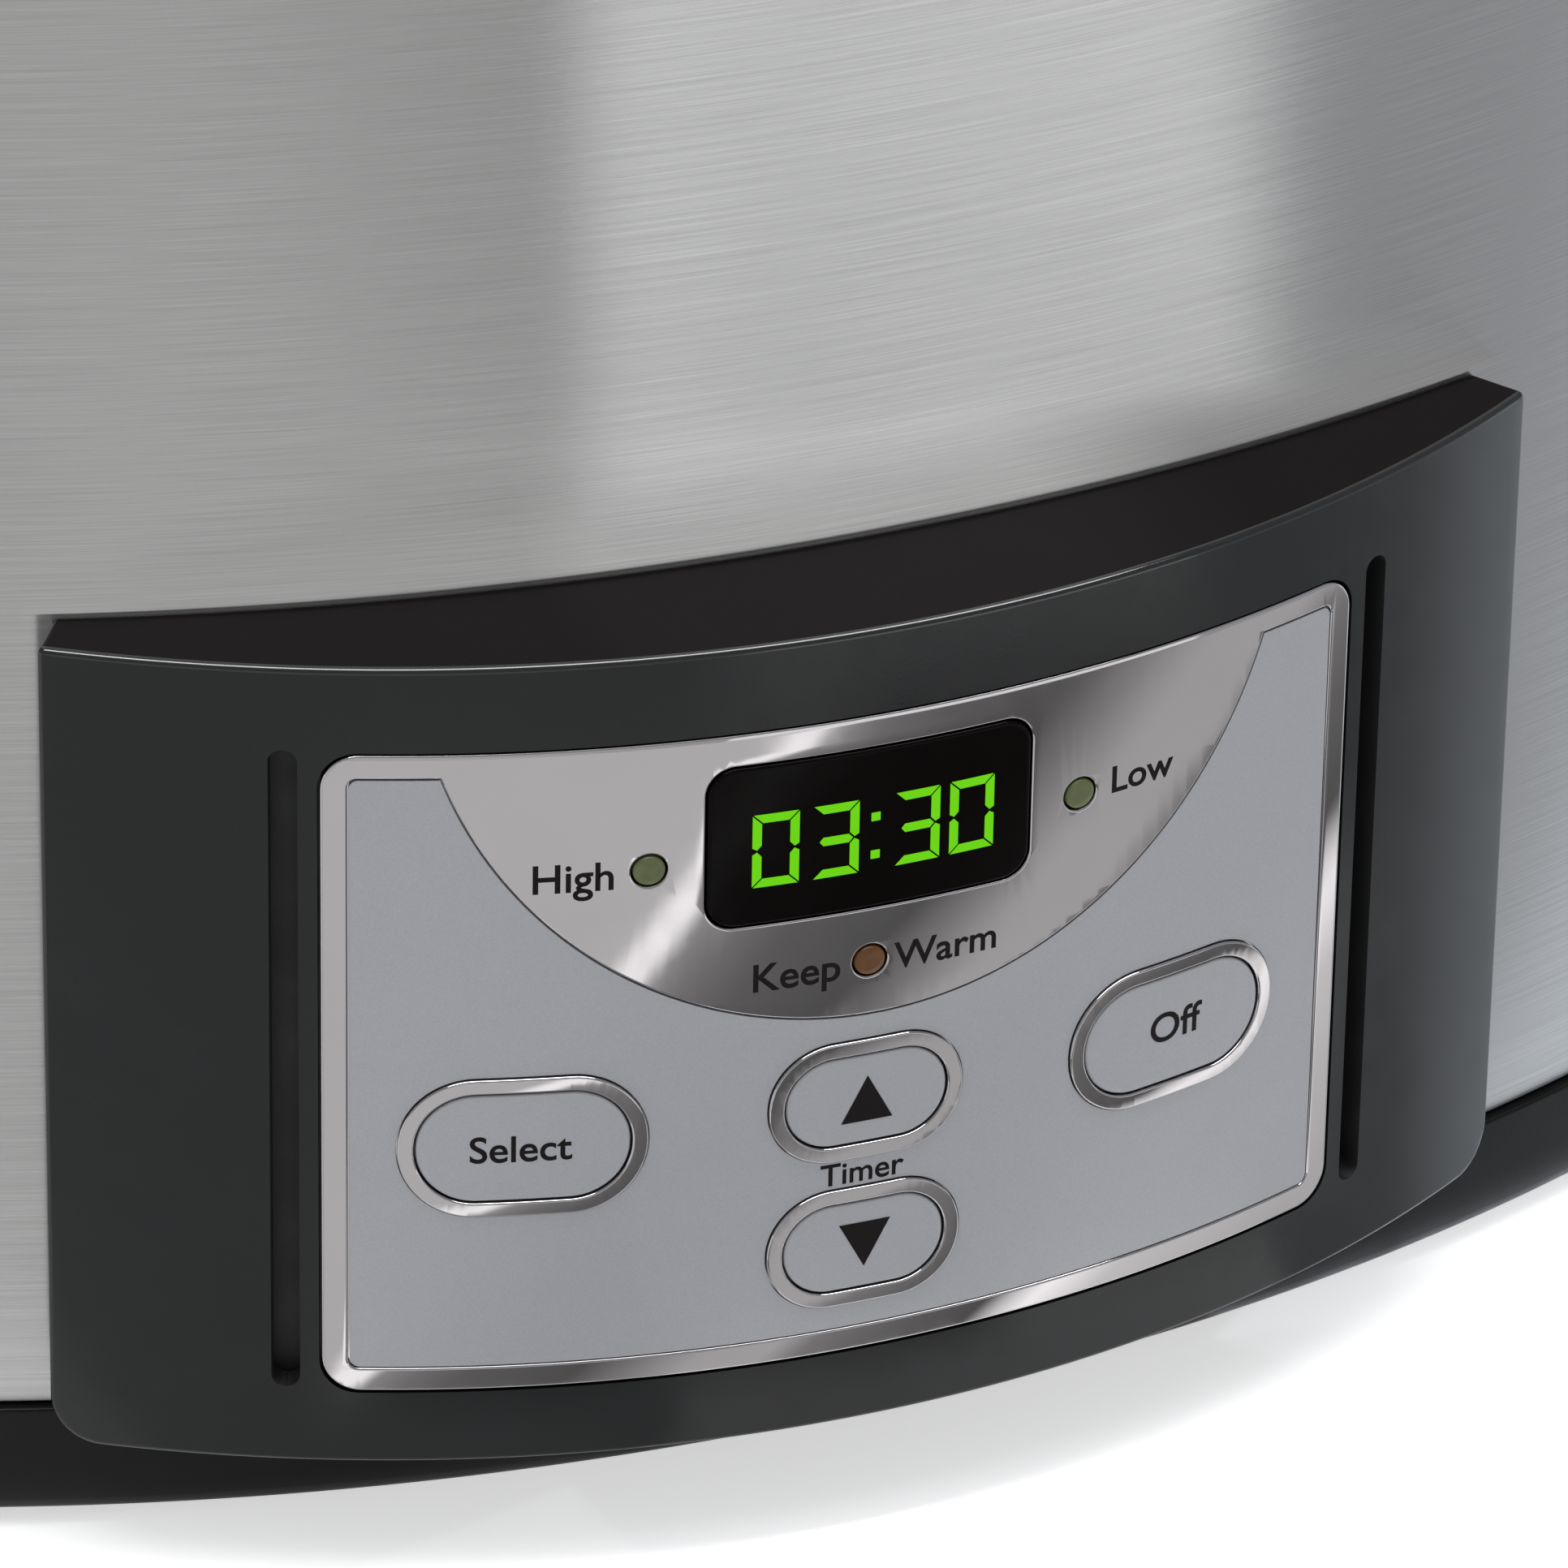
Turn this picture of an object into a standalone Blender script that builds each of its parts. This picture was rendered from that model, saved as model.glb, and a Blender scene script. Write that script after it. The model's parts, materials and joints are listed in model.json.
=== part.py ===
"""An oval programmable slow cooker, as separate pieces in their places.

Lengths are metres.  +Z is up, the control panel faces -Y, and the feet stand on z = 0.
Every piece is placed in the cooker's own frame, whose Z axis runs up the middle of the oval.
The frame sits a little behind the origin, because the panel bulges forwards.
"""

import math

import bmesh
import bpy
from mathutils import Matrix, Vector

# ---- Driving dimensions ---------------------------------------------------------------
BODY_RADIUS = 0.180        # middle of the oval to the outside of the steel wall, along X
OVAL = 0.775               # depth of the oval over its width
OVAL_STEPS = 40            # sides of every oval piece
GAP = 0.0003               # space left between pieces that touch

FOOT_HEIGHT = 0.003        # the base stands this far off the table
RIM_HEIGHT = 0.0014        # its rim hangs lower, this far off the table
SEAM_Z = 0.0128            # where the steel wall meets the black base
STEEL_TOP = 0.177
STEEL_THICKNESS = 0.0008
STEEL_INSIDE = BODY_RADIUS - STEEL_THICKNESS

PANEL_RADIUS = 0.1235      # the panel is part of an upright cylinder of this radius
PANEL_FRONT = 0.1550       # middle of the oval to the panel's face
PANEL_HALF = 0.0722        # half of the panel's width, along its curve
PANEL_BOTTOM = 0.0123
PANEL_TOP = 0.0913
PANEL_WALL = 0.0024
PANEL_STEP = 0.008         # a curved sheet is bent at this spacing

PLATE_HALF = 0.0481        # the silver plate, along its curve
PLATE_BOTTOM = 0.0197
PLATE_TOP = 0.0830
PLATE_CORNER = 0.0032
PLATE_BORDER = 0.0023
PLATE_BACK = -0.0012       # depths are measured outwards from the panel's face
PLATE_FACE = -0.00035
LEDGE = 0.0016             # width of the step that carries the plate
SKIN_GAP = 0.00015         # left under the thin overlay and the rings
DISC_CENTRE_Z = 0.0939     # the polished half disc hangs from the plate's top border
DISC_RADIUS = 0.0403

MIDDLE = -0.0007           # the controls sit this far off the middle of the plate
WINDOW = (MIDDLE, 0.0720, 0.0294, 0.0155, 0.0026)     # along, up, width, height, corner radius
LAMPS = {                                             # along, up
    "high": (MIDDLE - 0.0197, 0.0707),
    "low": (MIDDLE + 0.0197, 0.0707),
    "warm": (MIDDLE, 0.0589),
}
LAMP_RADIUS = 0.00145
BUTTONS = {                                           # along, up, width, height over the ring
    "select": (MIDDLE - 0.0303, 0.0442, 0.0216, 0.0137),
    "off": (MIDDLE + 0.0303, 0.0442, 0.0216, 0.0137),
    "timer_up": (MIDDLE, 0.0452, 0.0178, 0.0118),
    "timer_down": (MIDDLE, 0.0304, 0.0178, 0.0118),
}
RING_WIDTH = 0.0014
RING_PROUD = 0.0004
BUTTON_PLAY = 0.0003
BUTTON_PROUD = 0.0001
BUTTON_FLANGE = 0.0010

BOARD_FRONT = 0.0135       # panel face to the flat control board behind it
BOARD_SIZE = (0.092, 0.0016, 0.053)
BOARD_Z = 0.0532
SWITCH_HEIGHT = 0.0050
SWITCH_SLACK = 0.0012      # left between a button's stem and its switch, for the press

SLOT_ALONG = 0.0514
SLOT_WIDTH = 0.0025
SLOT_BOTTOM = 0.0200
SLOT_TOP = 0.0834

WELL_FLOOR = 0.028
WELL_TOP_RADIUS = 0.1680
WELL_FOOT_RADIUS = 0.1585
WELL_SHEET = 0.0010
BAND_BOTTOM = 0.050
BAND_TOP = 0.095
BAND_THICKNESS = 0.0010
BLANKET_THICKNESS = 0.0058

COLLAR_OUTSIDE = 0.1822
CROCK_OUTSIDE = 0.1820
CROCK_SEAT = 0.1803        # underside of the crock's rim
CROCK_TOP = 0.1915
LEDGE_Z = 0.1856           # the step inside the crock's rim that carries the lid

HANDLE_REACH = 0.222
HANDLE_HALF = 0.042
HANDLE_BOTTOM = 0.138
HANDLE_TOP = 0.156
PIVOT_X = 0.187            # the lid latch turns about this axis
PIVOT_Z = 0.162
LATCH_REACH = 0.036
LATCH_RISE = 0.018
LATCH_HALF = 0.031
WIRE_RADIUS = 0.0015

FOOT_X = 0.115
FOOT_Y = 0.075
SENSOR_X = 0.060
GLAND_Z = 0.035
GLAND_FLANGE = 0.0025

REAR_REACH = BODY_RADIUS * OVAL + 2 * GAP + GLAND_FLANGE
FRONT_REACH = PANEL_FRONT + RING_PROUD
BODY_Y = (FRONT_REACH - REAR_REACH) / 2

FINISHES = {               # base colour, roughness, metallic, transmission
    "steel": ((0.62, 0.62, 0.60), 0.30, 1.0, 0.0),
    "zinc": ((0.60, 0.61, 0.62), 0.40, 1.0, 0.0),
    "chrome": ((0.78, 0.77, 0.78), 0.12, 1.0, 0.0),
    "charcoal": ((0.030, 0.034, 0.037), 0.45, 0.0, 0.0),
    "black": ((0.012, 0.012, 0.013), 0.40, 0.0, 0.0),
    "silver": ((0.33, 0.34, 0.35), 0.45, 0.3, 0.0),
    "window": ((0.004, 0.004, 0.004), 0.08, 0.0, 0.0),
    "green": ((0.11, 0.15, 0.06), 0.25, 0.0, 0.4),
    "amber": ((0.32, 0.12, 0.04), 0.25, 0.0, 0.4),
    "board": ((0.02, 0.16, 0.07), 0.50, 0.0, 0.0),
    "stoneware": ((0.010, 0.010, 0.011), 0.12, 0.0, 0.0),
    "glass": ((0.90, 0.95, 0.93), 0.02, 0.0, 1.0),
    "rubber": ((0.015, 0.015, 0.015), 0.70, 0.0, 0.0),
    "blanket": ((0.75, 0.72, 0.64), 0.95, 0.0, 0.0),
    "mica": ((0.45, 0.36, 0.24), 0.60, 0.0, 0.0),
    "galvanised": ((0.50, 0.52, 0.54), 0.45, 1.0, 0.0),
}


# ---- Scene, objects and modifiers -----------------------------------------------------
def clear_scene():
    for item in list(bpy.data.objects):
        bpy.data.objects.remove(item, do_unlink=True)


def new_collection(name):
    collection = bpy.data.collections.new(name)
    bpy.context.scene.collection.children.link(collection)
    return collection


clear_scene()
PARTS = new_collection("slow_cooker")
CUTTERS = new_collection("cutters")
COOKER = bpy.data.objects.new("cooker_frame", None)
PARTS.objects.link(COOKER)
COOKER.location = (0.0, BODY_Y, 0.0)


def finish_material(name, finish):
    colour, roughness, metallic, transmission = FINISHES[finish]
    material = bpy.data.materials.new(f"{name}_{finish}")
    material.use_nodes = True
    shader = material.node_tree.nodes["Principled BSDF"]
    shader.inputs["Base Color"].default_value = (*colour, 1.0)
    shader.inputs["Roughness"].default_value = roughness
    shader.inputs["Metallic"].default_value = metallic
    shader.inputs["Transmission Weight"].default_value = transmission
    return material


def place(name, mesh, finish=None, at=(0.0, 0.0, 0.0), turn=(0.0, 0.0, 0.0)):
    """A part with its finish, or a hidden cutter where no finish is given."""
    item = bpy.data.objects.new(name, mesh)
    item.parent = COOKER
    item.location = at
    item.rotation_euler = turn
    if finish is None:
        CUTTERS.objects.link(item)
        item.hide_render = True
        item.display_type = "WIRE"
    else:
        PARTS.objects.link(item)
        mesh.materials.append(finish_material(name, finish))
    return item


def combine(target, other, operation):
    step = target.modifiers.new(f"{operation.lower()}_{other.name}", "BOOLEAN")
    step.operation = operation
    step.solver = "EXACT"
    step.object = other


def cut(target, *cutters):
    for cutter in cutters:
        combine(target, cutter, "DIFFERENCE")


def join(target, *others):
    for other in others:
        combine(target, other, "UNION")


def soften(target, width, segments=2):
    bevel = target.modifiers.new("edges", "BEVEL")
    bevel.width = width
    bevel.segments = segments
    bevel.limit_method = "ANGLE"
    bevel.angle_limit = math.radians(40)


def turned(name, profile, finish=None, steps=OVAL_STEPS, oval=1.0, at=(0, 0, 0), turn=(0, 0, 0)):
    """A profile of (radius, height) turned about Z, then squashed along Y where it is oval."""
    mesh = bpy.data.meshes.new(name)
    ring = all(radius > 0 for radius, _ in profile)
    edges = [(i, i + 1) for i in range(len(profile) - 1)]
    if ring:
        edges.append((len(profile) - 1, 0))
    mesh.from_pydata([(radius, 0.0, height) for radius, height in profile], edges, [])
    item = place(name, mesh, finish, at, turn)
    item.scale = (1.0, oval, 1.0)
    screw = item.modifiers.new("turn", "SCREW")
    screw.steps = steps
    screw.render_steps = steps
    screw.use_merge_vertices = True
    screw.merge_threshold = 0.00002
    screw.use_smooth_shade = True
    return item


def oval_part(name, profile, finish=None, steps=OVAL_STEPS):
    return turned(name, profile, finish, steps, OVAL)


def box(name, size, centre, finish=None, turn=(0, 0, 0)):
    form = bmesh.new()
    bmesh.ops.create_cube(form, size=1.0)
    bmesh.ops.scale(form, vec=size, verts=form.verts)
    mesh = bpy.data.meshes.new(name)
    form.to_mesh(mesh)
    form.free()
    return place(name, mesh, finish, centre, turn)


def cylinder(name, radius, length, centre, finish=None, turn=(0, 0, 0), sides=16):
    form = bmesh.new()
    bmesh.ops.create_cone(form, cap_ends=True, segments=sides, radius1=radius, radius2=radius, depth=length)
    mesh = bpy.data.meshes.new(name)
    form.to_mesh(mesh)
    form.free()
    return place(name, mesh, finish, centre, turn)


# ---- Outlines and sheets ----------------------------------------------------------------
def rounded(centre_x, centre_y, width, height, radius, steps=3, lower_only=False):
    """A rectangle with round corners, anticlockwise; with lower_only its top corners are square."""
    points = []
    for quarter, (side_x, side_y) in enumerate(((1, 1), (-1, 1), (-1, -1), (1, -1))):
        corner_x = centre_x + side_x * (width / 2 - radius)
        corner_y = centre_y + side_y * (height / 2 - radius)
        if lower_only and side_y > 0:
            points.append((corner_x + side_x * radius, corner_y + radius))
            continue
        for i in range(steps + 1):
            angle = (quarter + i / steps) * math.pi / 2
            points.append((corner_x + radius * math.cos(angle), corner_y + radius * math.sin(angle)))
    return points


def stadium(centre_x, centre_y, width, height, grow=0.0):
    height += 2 * grow
    return rounded(centre_x, centre_y, width + 2 * grow, height, height / 2 * 0.98)


def circle(centre_x, centre_y, radius, steps=16):
    turns = [2 * math.pi * i / steps for i in range(steps)]
    return [(centre_x + radius * math.cos(a), centre_y + radius * math.sin(a)) for a in turns]


def sheet_mesh(name, outlines, low, high):
    """The flat outlines, the first one outside and the others holes in it, filled from low to high."""
    curve = bpy.data.curves.new(name, "CURVE")
    curve.dimensions = "2D"
    curve.fill_mode = "BOTH"
    curve.extrude = (high - low) / 2
    for outline in outlines:
        spline = curve.splines.new("POLY")
        spline.points.add(len(outline) - 1)
        for point, (x, y) in zip(spline.points, outline):
            point.co = (x, y, 0.0, 1.0)
        spline.use_cyclic_u = True
    holder = bpy.data.objects.new(name, curve)
    bpy.context.scene.collection.objects.link(holder)
    graph = bpy.context.evaluated_depsgraph_get()
    mesh = bpy.data.meshes.new_from_object(holder.evaluated_get(graph))
    bpy.data.objects.remove(holder, do_unlink=True)
    form = bmesh.new()
    form.from_mesh(mesh)
    bmesh.ops.remove_doubles(form, verts=form.verts, dist=0.000001)
    bmesh.ops.translate(form, vec=(0.0, 0.0, (low + high) / 2), verts=form.verts)
    bmesh.ops.dissolve_limit(form, angle_limit=0.01, verts=form.verts, edges=form.edges)
    bmesh.ops.recalc_face_normals(form, faces=form.faces)
    form.to_mesh(mesh)
    form.free()
    return mesh


def slab(name, outlines, low, high, finish=None):
    """A sheet lying level, from the height low to the height high."""
    return place(name, sheet_mesh(name, outlines, low, high), finish)


def on_panel(along, up, depth):
    """The point this far along the panel's curve, at this height, and this far out from its face."""
    angle = along / PANEL_RADIUS
    reach = PANEL_RADIUS + depth
    return Vector((reach * math.sin(angle), PANEL_RADIUS - PANEL_FRONT - reach * math.cos(angle), up))


def panel_turn(along):
    """Turns a piece so that its Z axis points straight out of the panel there."""
    return (math.pi / 2, 0.0, along / PANEL_RADIUS)


def bend(mesh, along=0.0, up=0.0):
    """Bends a flat sheet round the panel, and leaves it seen from the place it is worked from."""
    form = bmesh.new()
    form.from_mesh(mesh)
    columns = int(PANEL_HALF / PANEL_STEP) + 2
    for i in range(-columns, columns + 1):
        everything = form.verts[:] + form.edges[:] + form.faces[:]
        bmesh.ops.bisect_plane(form, geom=everything, dist=0.0000001,
                               plane_co=(i * PANEL_STEP, 0.0, 0.0), plane_no=(1.0, 0.0, 0.0))
    bmesh.ops.triangulate(form, faces=form.faces)
    turn = Matrix.Rotation(panel_turn(along)[2], 4, "Z") @ Matrix.Rotation(math.pi / 2, 4, "X")
    home = (Matrix.Translation(on_panel(along, up, 0.0)) @ turn).inverted()
    for vertex in form.verts:
        vertex.co = home @ on_panel(*vertex.co)
    form.to_mesh(mesh)
    form.free()


def panel_sheet(name, outlines, low, high, finish=None, along=0.0, up=0.0):
    """A sheet bent to the panel, from depth low to depth high, with its origin on the panel's face."""
    mesh = sheet_mesh(name, outlines, low, high)
    bend(mesh, along, up)
    return place(name, mesh, finish, on_panel(along, up, 0.0), panel_turn(along))


def wire_mesh(name, points, radius, resolution=1):
    """A round wire along the points, as a closed mesh."""
    curve = bpy.data.curves.new(name, "CURVE")
    curve.dimensions = "3D"
    curve.bevel_depth = radius
    curve.bevel_resolution = resolution
    curve.use_fill_caps = True
    spline = curve.splines.new("POLY")
    spline.points.add(len(points) - 1)
    for point, place_of in zip(spline.points, points):
        point.co = (*place_of, 1.0)
    holder = bpy.data.objects.new(name, curve)
    bpy.context.scene.collection.objects.link(holder)
    graph = bpy.context.evaluated_depsgraph_get()
    mesh = bpy.data.meshes.new_from_object(holder.evaluated_get(graph))
    bpy.data.objects.remove(holder, do_unlink=True)
    form = bmesh.new()
    form.from_mesh(mesh)
    bmesh.ops.remove_doubles(form, verts=form.verts, dist=0.000001)
    bmesh.ops.recalc_face_normals(form, faces=form.faces)
    form.to_mesh(mesh)
    form.free()
    return mesh


# ---- Base and wall ------------------------------------------------------------------------
def make_steel_wrap():
    hem = BODY_RADIUS - 0.004
    wrap = oval_part("steel_wrap", [
        (BODY_RADIUS, STEEL_TOP), (BODY_RADIUS, SEAM_Z + GAP), (STEEL_INSIDE, SEAM_Z + GAP),
        (STEEL_INSIDE, STEEL_TOP - STEEL_THICKNESS), (hem, STEEL_TOP - STEEL_THICKNESS), (hem, STEEL_TOP),
    ], "steel")
    harness_hole = box("harness_hole", (0.050, 0.030, 0.026), (0.0, -BODY_RADIUS * OVAL, 0.050))
    gland_hole = cylinder("gland_hole", 0.0054, 0.030, (0.0, BODY_RADIUS * OVAL, GLAND_Z),
                          turn=(math.pi / 2, 0, 0), sides=20)
    cut(wrap, harness_hole, gland_hole)


def make_base():
    lip = STEEL_INSIDE - 0.0004
    outside = BODY_RADIUS + 0.0012
    floor_top = FOOT_HEIGHT + 0.002
    pan = oval_part("base_pan", [
        (lip, 0.025), (lip, SEAM_Z), (outside, SEAM_Z), (outside, 0.0050), (outside - 0.0008, 0.0026),
        (outside - 0.0022, RIM_HEIGHT), (outside - 0.0040, RIM_HEIGHT), (outside - 0.0052, FOOT_HEIGHT),
        (0.120, FOOT_HEIGHT), (0.120, floor_top),
        (lip - 0.0022, floor_top), (lip - 0.0022, 0.025),
    ], "black")
    plate_low = floor_top + GAP
    plate = oval_part("bottom_plate", [
        (0.128, plate_low + 0.0008), (0.128, plate_low), (0.0045, plate_low), (0.0045, plate_low + 0.0008),
    ], "galvanised")
    for row in (-1, 0, 1):
        slot = slab(f"vent_{row + 2}", [stadium(row * 0.034, -0.060, 0.026, 0.004)], 0.0, 0.012)
        cut(plate, slot)
    for end_x, side in ((-1, "left"), (1, "right")):
        for end_y, row in ((-1, "front"), (1, "rear")):
            spot = (end_x * FOOT_X, end_y * FOOT_Y, 0.0)
            cut(pan, cylinder(f"foot_hole_{row}_{side}", 0.0032, 0.010, (spot[0], spot[1], 0.004)))
            under = FOOT_HEIGHT - GAP
            turned(f"foot_{row}_{side}", [
                (0.0, 0.0066), (0.0022, 0.0066), (0.0040, floor_top + GAP), (0.0028, floor_top + GAP),
                (0.0028, under), (0.0085, under), (0.0075, 0.0), (0.0, 0.0),
            ], "rubber", steps=12, at=spot)


def make_cord_gland():
    wall = BODY_RADIUS * OVAL
    face = wall + 2 * GAP
    inner = STEEL_INSIDE * OVAL - 0.0006
    turned("cord_gland", [
        (0.0085, face + GLAND_FLANGE), (0.0095, face + GLAND_FLANGE - 0.0008), (0.0095, face),
        (0.0050, face), (0.0050, inner), (0.0070, inner), (0.0070, inner - 0.0035), (0.0032, inner - 0.0035),
        (0.0032, face + GLAND_FLANGE),
    ], "black", steps=20, at=(0.0, 0.0, GLAND_Z), turn=(-math.pi / 2, 0, 0))


# ---- Heating well -------------------------------------------------------------------------
def well_radius(height):
    """Outside of the heating well's sloping wall."""
    foot_z = WELL_FLOOR + 0.017
    slope = (WELL_TOP_RADIUS - WELL_FOOT_RADIUS) / (STEEL_TOP - foot_z)
    return WELL_FOOT_RADIUS + (height - foot_z) * slope


def make_well():
    flange_low = STEEL_TOP + GAP
    flange_top = flange_low + 0.0008
    foot_z = WELL_FLOOR + 0.017
    inside = WELL_SHEET
    well = oval_part("heating_well", [
        (STEEL_INSIDE - 0.0006, flange_top), (STEEL_INSIDE - 0.0006, flange_low),
        (well_radius(flange_low), flange_low), (well_radius(foot_z), foot_z),
        (0.1540, WELL_FLOOR + 0.0050), (0.1480, WELL_FLOOR), (0.0045, WELL_FLOOR),
        (0.0045, WELL_FLOOR + WELL_SHEET), (0.1476, WELL_FLOOR + WELL_SHEET),
        (0.1533, WELL_FLOOR + 0.0058), (well_radius(foot_z) - inside, foot_z),
        (well_radius(flange_low) - inside, flange_top),
    ], "galvanised")
    cut(well, cylinder("sensor_hole", 0.0105, 0.010, (SENSOR_X, 0.0, WELL_FLOOR), sides=24))
    inner = GAP + 0.0001
    outer = inner + BAND_THICKNESS
    oval_part("heater_band", [
        (well_radius(BAND_TOP) + outer, BAND_TOP), (well_radius(BAND_BOTTOM) + outer, BAND_BOTTOM),
        (well_radius(BAND_BOTTOM) + inner, BAND_BOTTOM), (well_radius(BAND_TOP) + inner, BAND_TOP),
    ], "mica")
    blanket_top = BAND_TOP + 0.003
    blanket_low = BAND_BOTTOM - 0.003
    near = outer + GAP
    far = near + BLANKET_THICKNESS
    oval_part("insulation_blanket", [
        (well_radius(blanket_top) + far, blanket_top), (well_radius(blanket_low) + far, blanket_low),
        (well_radius(blanket_low) + near, blanket_low), (well_radius(blanket_top) + near, blanket_top),
    ], "blanket")
    fuse_z = 0.108
    fuse_y = well_radius(fuse_z) * OVAL + 0.0040
    turned("thermal_fuse", [
        (0.0, 0.010), (0.0009, 0.010), (0.0010, 0.0066), (0.0022, 0.0056), (0.0022, -0.0056),
        (0.0010, -0.0066), (0.0009, -0.010), (0.0, -0.010),
    ], "zinc", steps=14, at=(0.0, fuse_y, fuse_z), turn=(0, math.pi / 2, 0))


def make_centre_bolt():
    head_low = WELL_FLOOR + WELL_SHEET + GAP
    turned("centre_bolt", [
        (0.0, head_low + 0.0026), (0.0050, head_low + 0.0020), (0.0070, head_low), (0.0020, head_low),
        (0.0020, 0.0016), (0.0, 0.0016),
    ], "zinc", steps=16)
    turned("centre_nut", [(0.0045, 0.0048), (0.0045, 0.0024), (0.0027, 0.0024), (0.0027, 0.0048)],
           "zinc", steps=6)


def make_sensor():
    spot = (SENSOR_X, 0.0, 0.0)
    turned("sensor_cup", [
        (0.0, 0.0333), (0.0075, 0.0333), (0.0085, 0.0323), (0.0085, 0.0255), (0.0125, 0.0255),
        (0.0125, 0.0243), (0.0, 0.0243),
    ], "zinc", steps=24, at=spot)
    turns, per_turn, radius = 3, 9, 0.0065
    low, high = 0.0073, 0.0233
    points = []
    for i in range(turns * per_turn + 1):
        angle = 2 * math.pi * i / per_turn
        height = low + (high - low) * i / (turns * per_turn)
        points.append((radius * math.cos(angle), radius * math.sin(angle), height))
    place("sensor_spring", wire_mesh("sensor_spring", points, 0.0006), "zinc", spot)


def make_power_unit():
    board_top = 0.0122
    spot_x, spot_y = -0.072, -0.018
    board = box("power_board", (0.078, 0.050, 0.0016), (spot_x, spot_y, board_top - 0.0008), "board")
    for end_x in (-1, 1):
        for end_y in (-1, 1):
            leg = cylinder(f"board_leg_{end_x + 1}{end_y + 1}", 0.0025, 0.0050,
                           (spot_x + end_x * 0.034, spot_y + end_y * 0.020, 0.0090), sides=10)
            join(board, leg)
    box("relay", (0.019, 0.015, 0.0140), (spot_x - 0.022, spot_y, board_top + GAP + 0.0070), "black")
    core = box("transformer", (0.022, 0.018, 0.0055), (spot_x + 0.014, spot_y, board_top + 0.0070), "zinc")
    join(core, box("winding", (0.013, 0.026, 0.0130), (spot_x + 0.014, spot_y, board_top + GAP + 0.0065)))


def make_rim_collar():
    low = STEEL_TOP + 0.0014
    outside = COLLAR_OUTSIDE
    oval_part("rim_collar", [
        (outside - 0.0008, CROCK_SEAT - GAP), (outside, CROCK_SEAT - 0.0012), (outside, 0.1700),
        (BODY_RADIUS + 0.0004, 0.1700), (BODY_RADIUS + 0.0004, low), (WELL_TOP_RADIUS, low),
        (WELL_TOP_RADIUS, CROCK_SEAT - GAP),
    ], "black")


# ---- Control panel --------------------------------------------------------------------------
def make_housing():
    wide = 2 * PANEL_HALF
    middle_z = (PANEL_BOTTOM + PANEL_TOP) / 2
    tall = PANEL_TOP - PANEL_BOTTOM
    front = rounded(0.0, middle_z, wide, tall, 0.0045, lower_only=True)
    housing = panel_sheet("control_housing", [front], -0.034, 0.0, "charcoal")
    inside = rounded(0.0, middle_z, wide - 2 * PANEL_WALL, tall - 2 * PANEL_WALL, 0.0025)
    hollow = panel_sheet("housing_hollow", [inside], -0.038, -PANEL_WALL)
    wall = BODY_RADIUS + GAP
    skirt = BODY_RADIUS + 0.0015
    step_z = SEAM_Z + GAP
    body = oval_part("housing_back", [
        (0.0, 0.120), (wall, 0.120), (wall, step_z), (skirt, step_z), (skirt, -0.010), (0.0, -0.010),
    ])
    grow = GAP
    middle_plate = (PLATE_BOTTOM + PLATE_TOP) / 2
    recess_outline = rounded(0.0, middle_plate, 2 * (PLATE_HALF + grow), PLATE_TOP - PLATE_BOTTOM + 2 * grow,
                             PLATE_CORNER)
    recess = panel_sheet("plate_recess", [recess_outline], PLATE_BACK - GAP, 0.004)
    opening_outline = rounded(0.0, middle_plate, 2 * PLATE_HALF - 2 * LEDGE, PLATE_TOP - PLATE_BOTTOM - LEDGE, 0.002)
    opening = panel_sheet("board_opening", [opening_outline], -0.006, 0.002)
    cut(housing, body, hollow, recess, opening)
    for side in (-1, 1):
        middle = (SLOT_BOTTOM + SLOT_TOP) / 2
        outline = rounded(side * SLOT_ALONG, middle, SLOT_WIDTH, SLOT_TOP - SLOT_BOTTOM, SLOT_WIDTH * 0.48)
        cut(housing, panel_sheet(f"slot_{side + 1}", [outline], -0.006, 0.002))


def overlay_outline():
    """The matt field inside the plate's border, with the polished half disc bitten out of its top."""
    half = PLATE_HALF - PLATE_BORDER
    low = PLATE_BOTTOM + PLATE_BORDER
    top = PLATE_TOP - PLATE_BORDER
    start = math.asin((DISC_CENTRE_Z - top) / DISC_RADIUS)
    steps = 20
    points = [(half, top)]
    for i in range(steps + 1):
        angle = -start - (math.pi - 2 * start) * i / steps
        along = DISC_RADIUS * math.cos(angle)
        points.append((along, DISC_CENTRE_Z + DISC_RADIUS * math.sin(angle)))
    return points + [(-half, top), (-half, low), (half, low)]


def button_outline(key, grow):
    along, up, width, height = BUTTONS[key]
    return stadium(along, up, width, height, grow)


def make_faceplate():
    middle = (PLATE_BOTTOM + PLATE_TOP) / 2
    outer = rounded(0.0, middle, 2 * PLATE_HALF, PLATE_TOP - PLATE_BOTTOM, PLATE_CORNER)
    along, up, width, height, corner = WINDOW
    holes = [rounded(along, up, width + 2 * GAP, height + 2 * GAP, corner)]
    holes += [circle(*spot, LAMP_RADIUS + GAP) for spot in LAMPS.values()]
    holes += [button_outline(key, -RING_WIDTH) for key in BUTTONS]
    panel_sheet("faceplate", [outer, *holes], PLATE_BACK, PLATE_FACE, "chrome")
    field = [overlay_outline()] + [button_outline(key, 0.0002) for key in BUTTONS]
    panel_sheet("overlay_sheet", field, PLATE_FACE + SKIN_GAP, 0.0, "silver")


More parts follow.
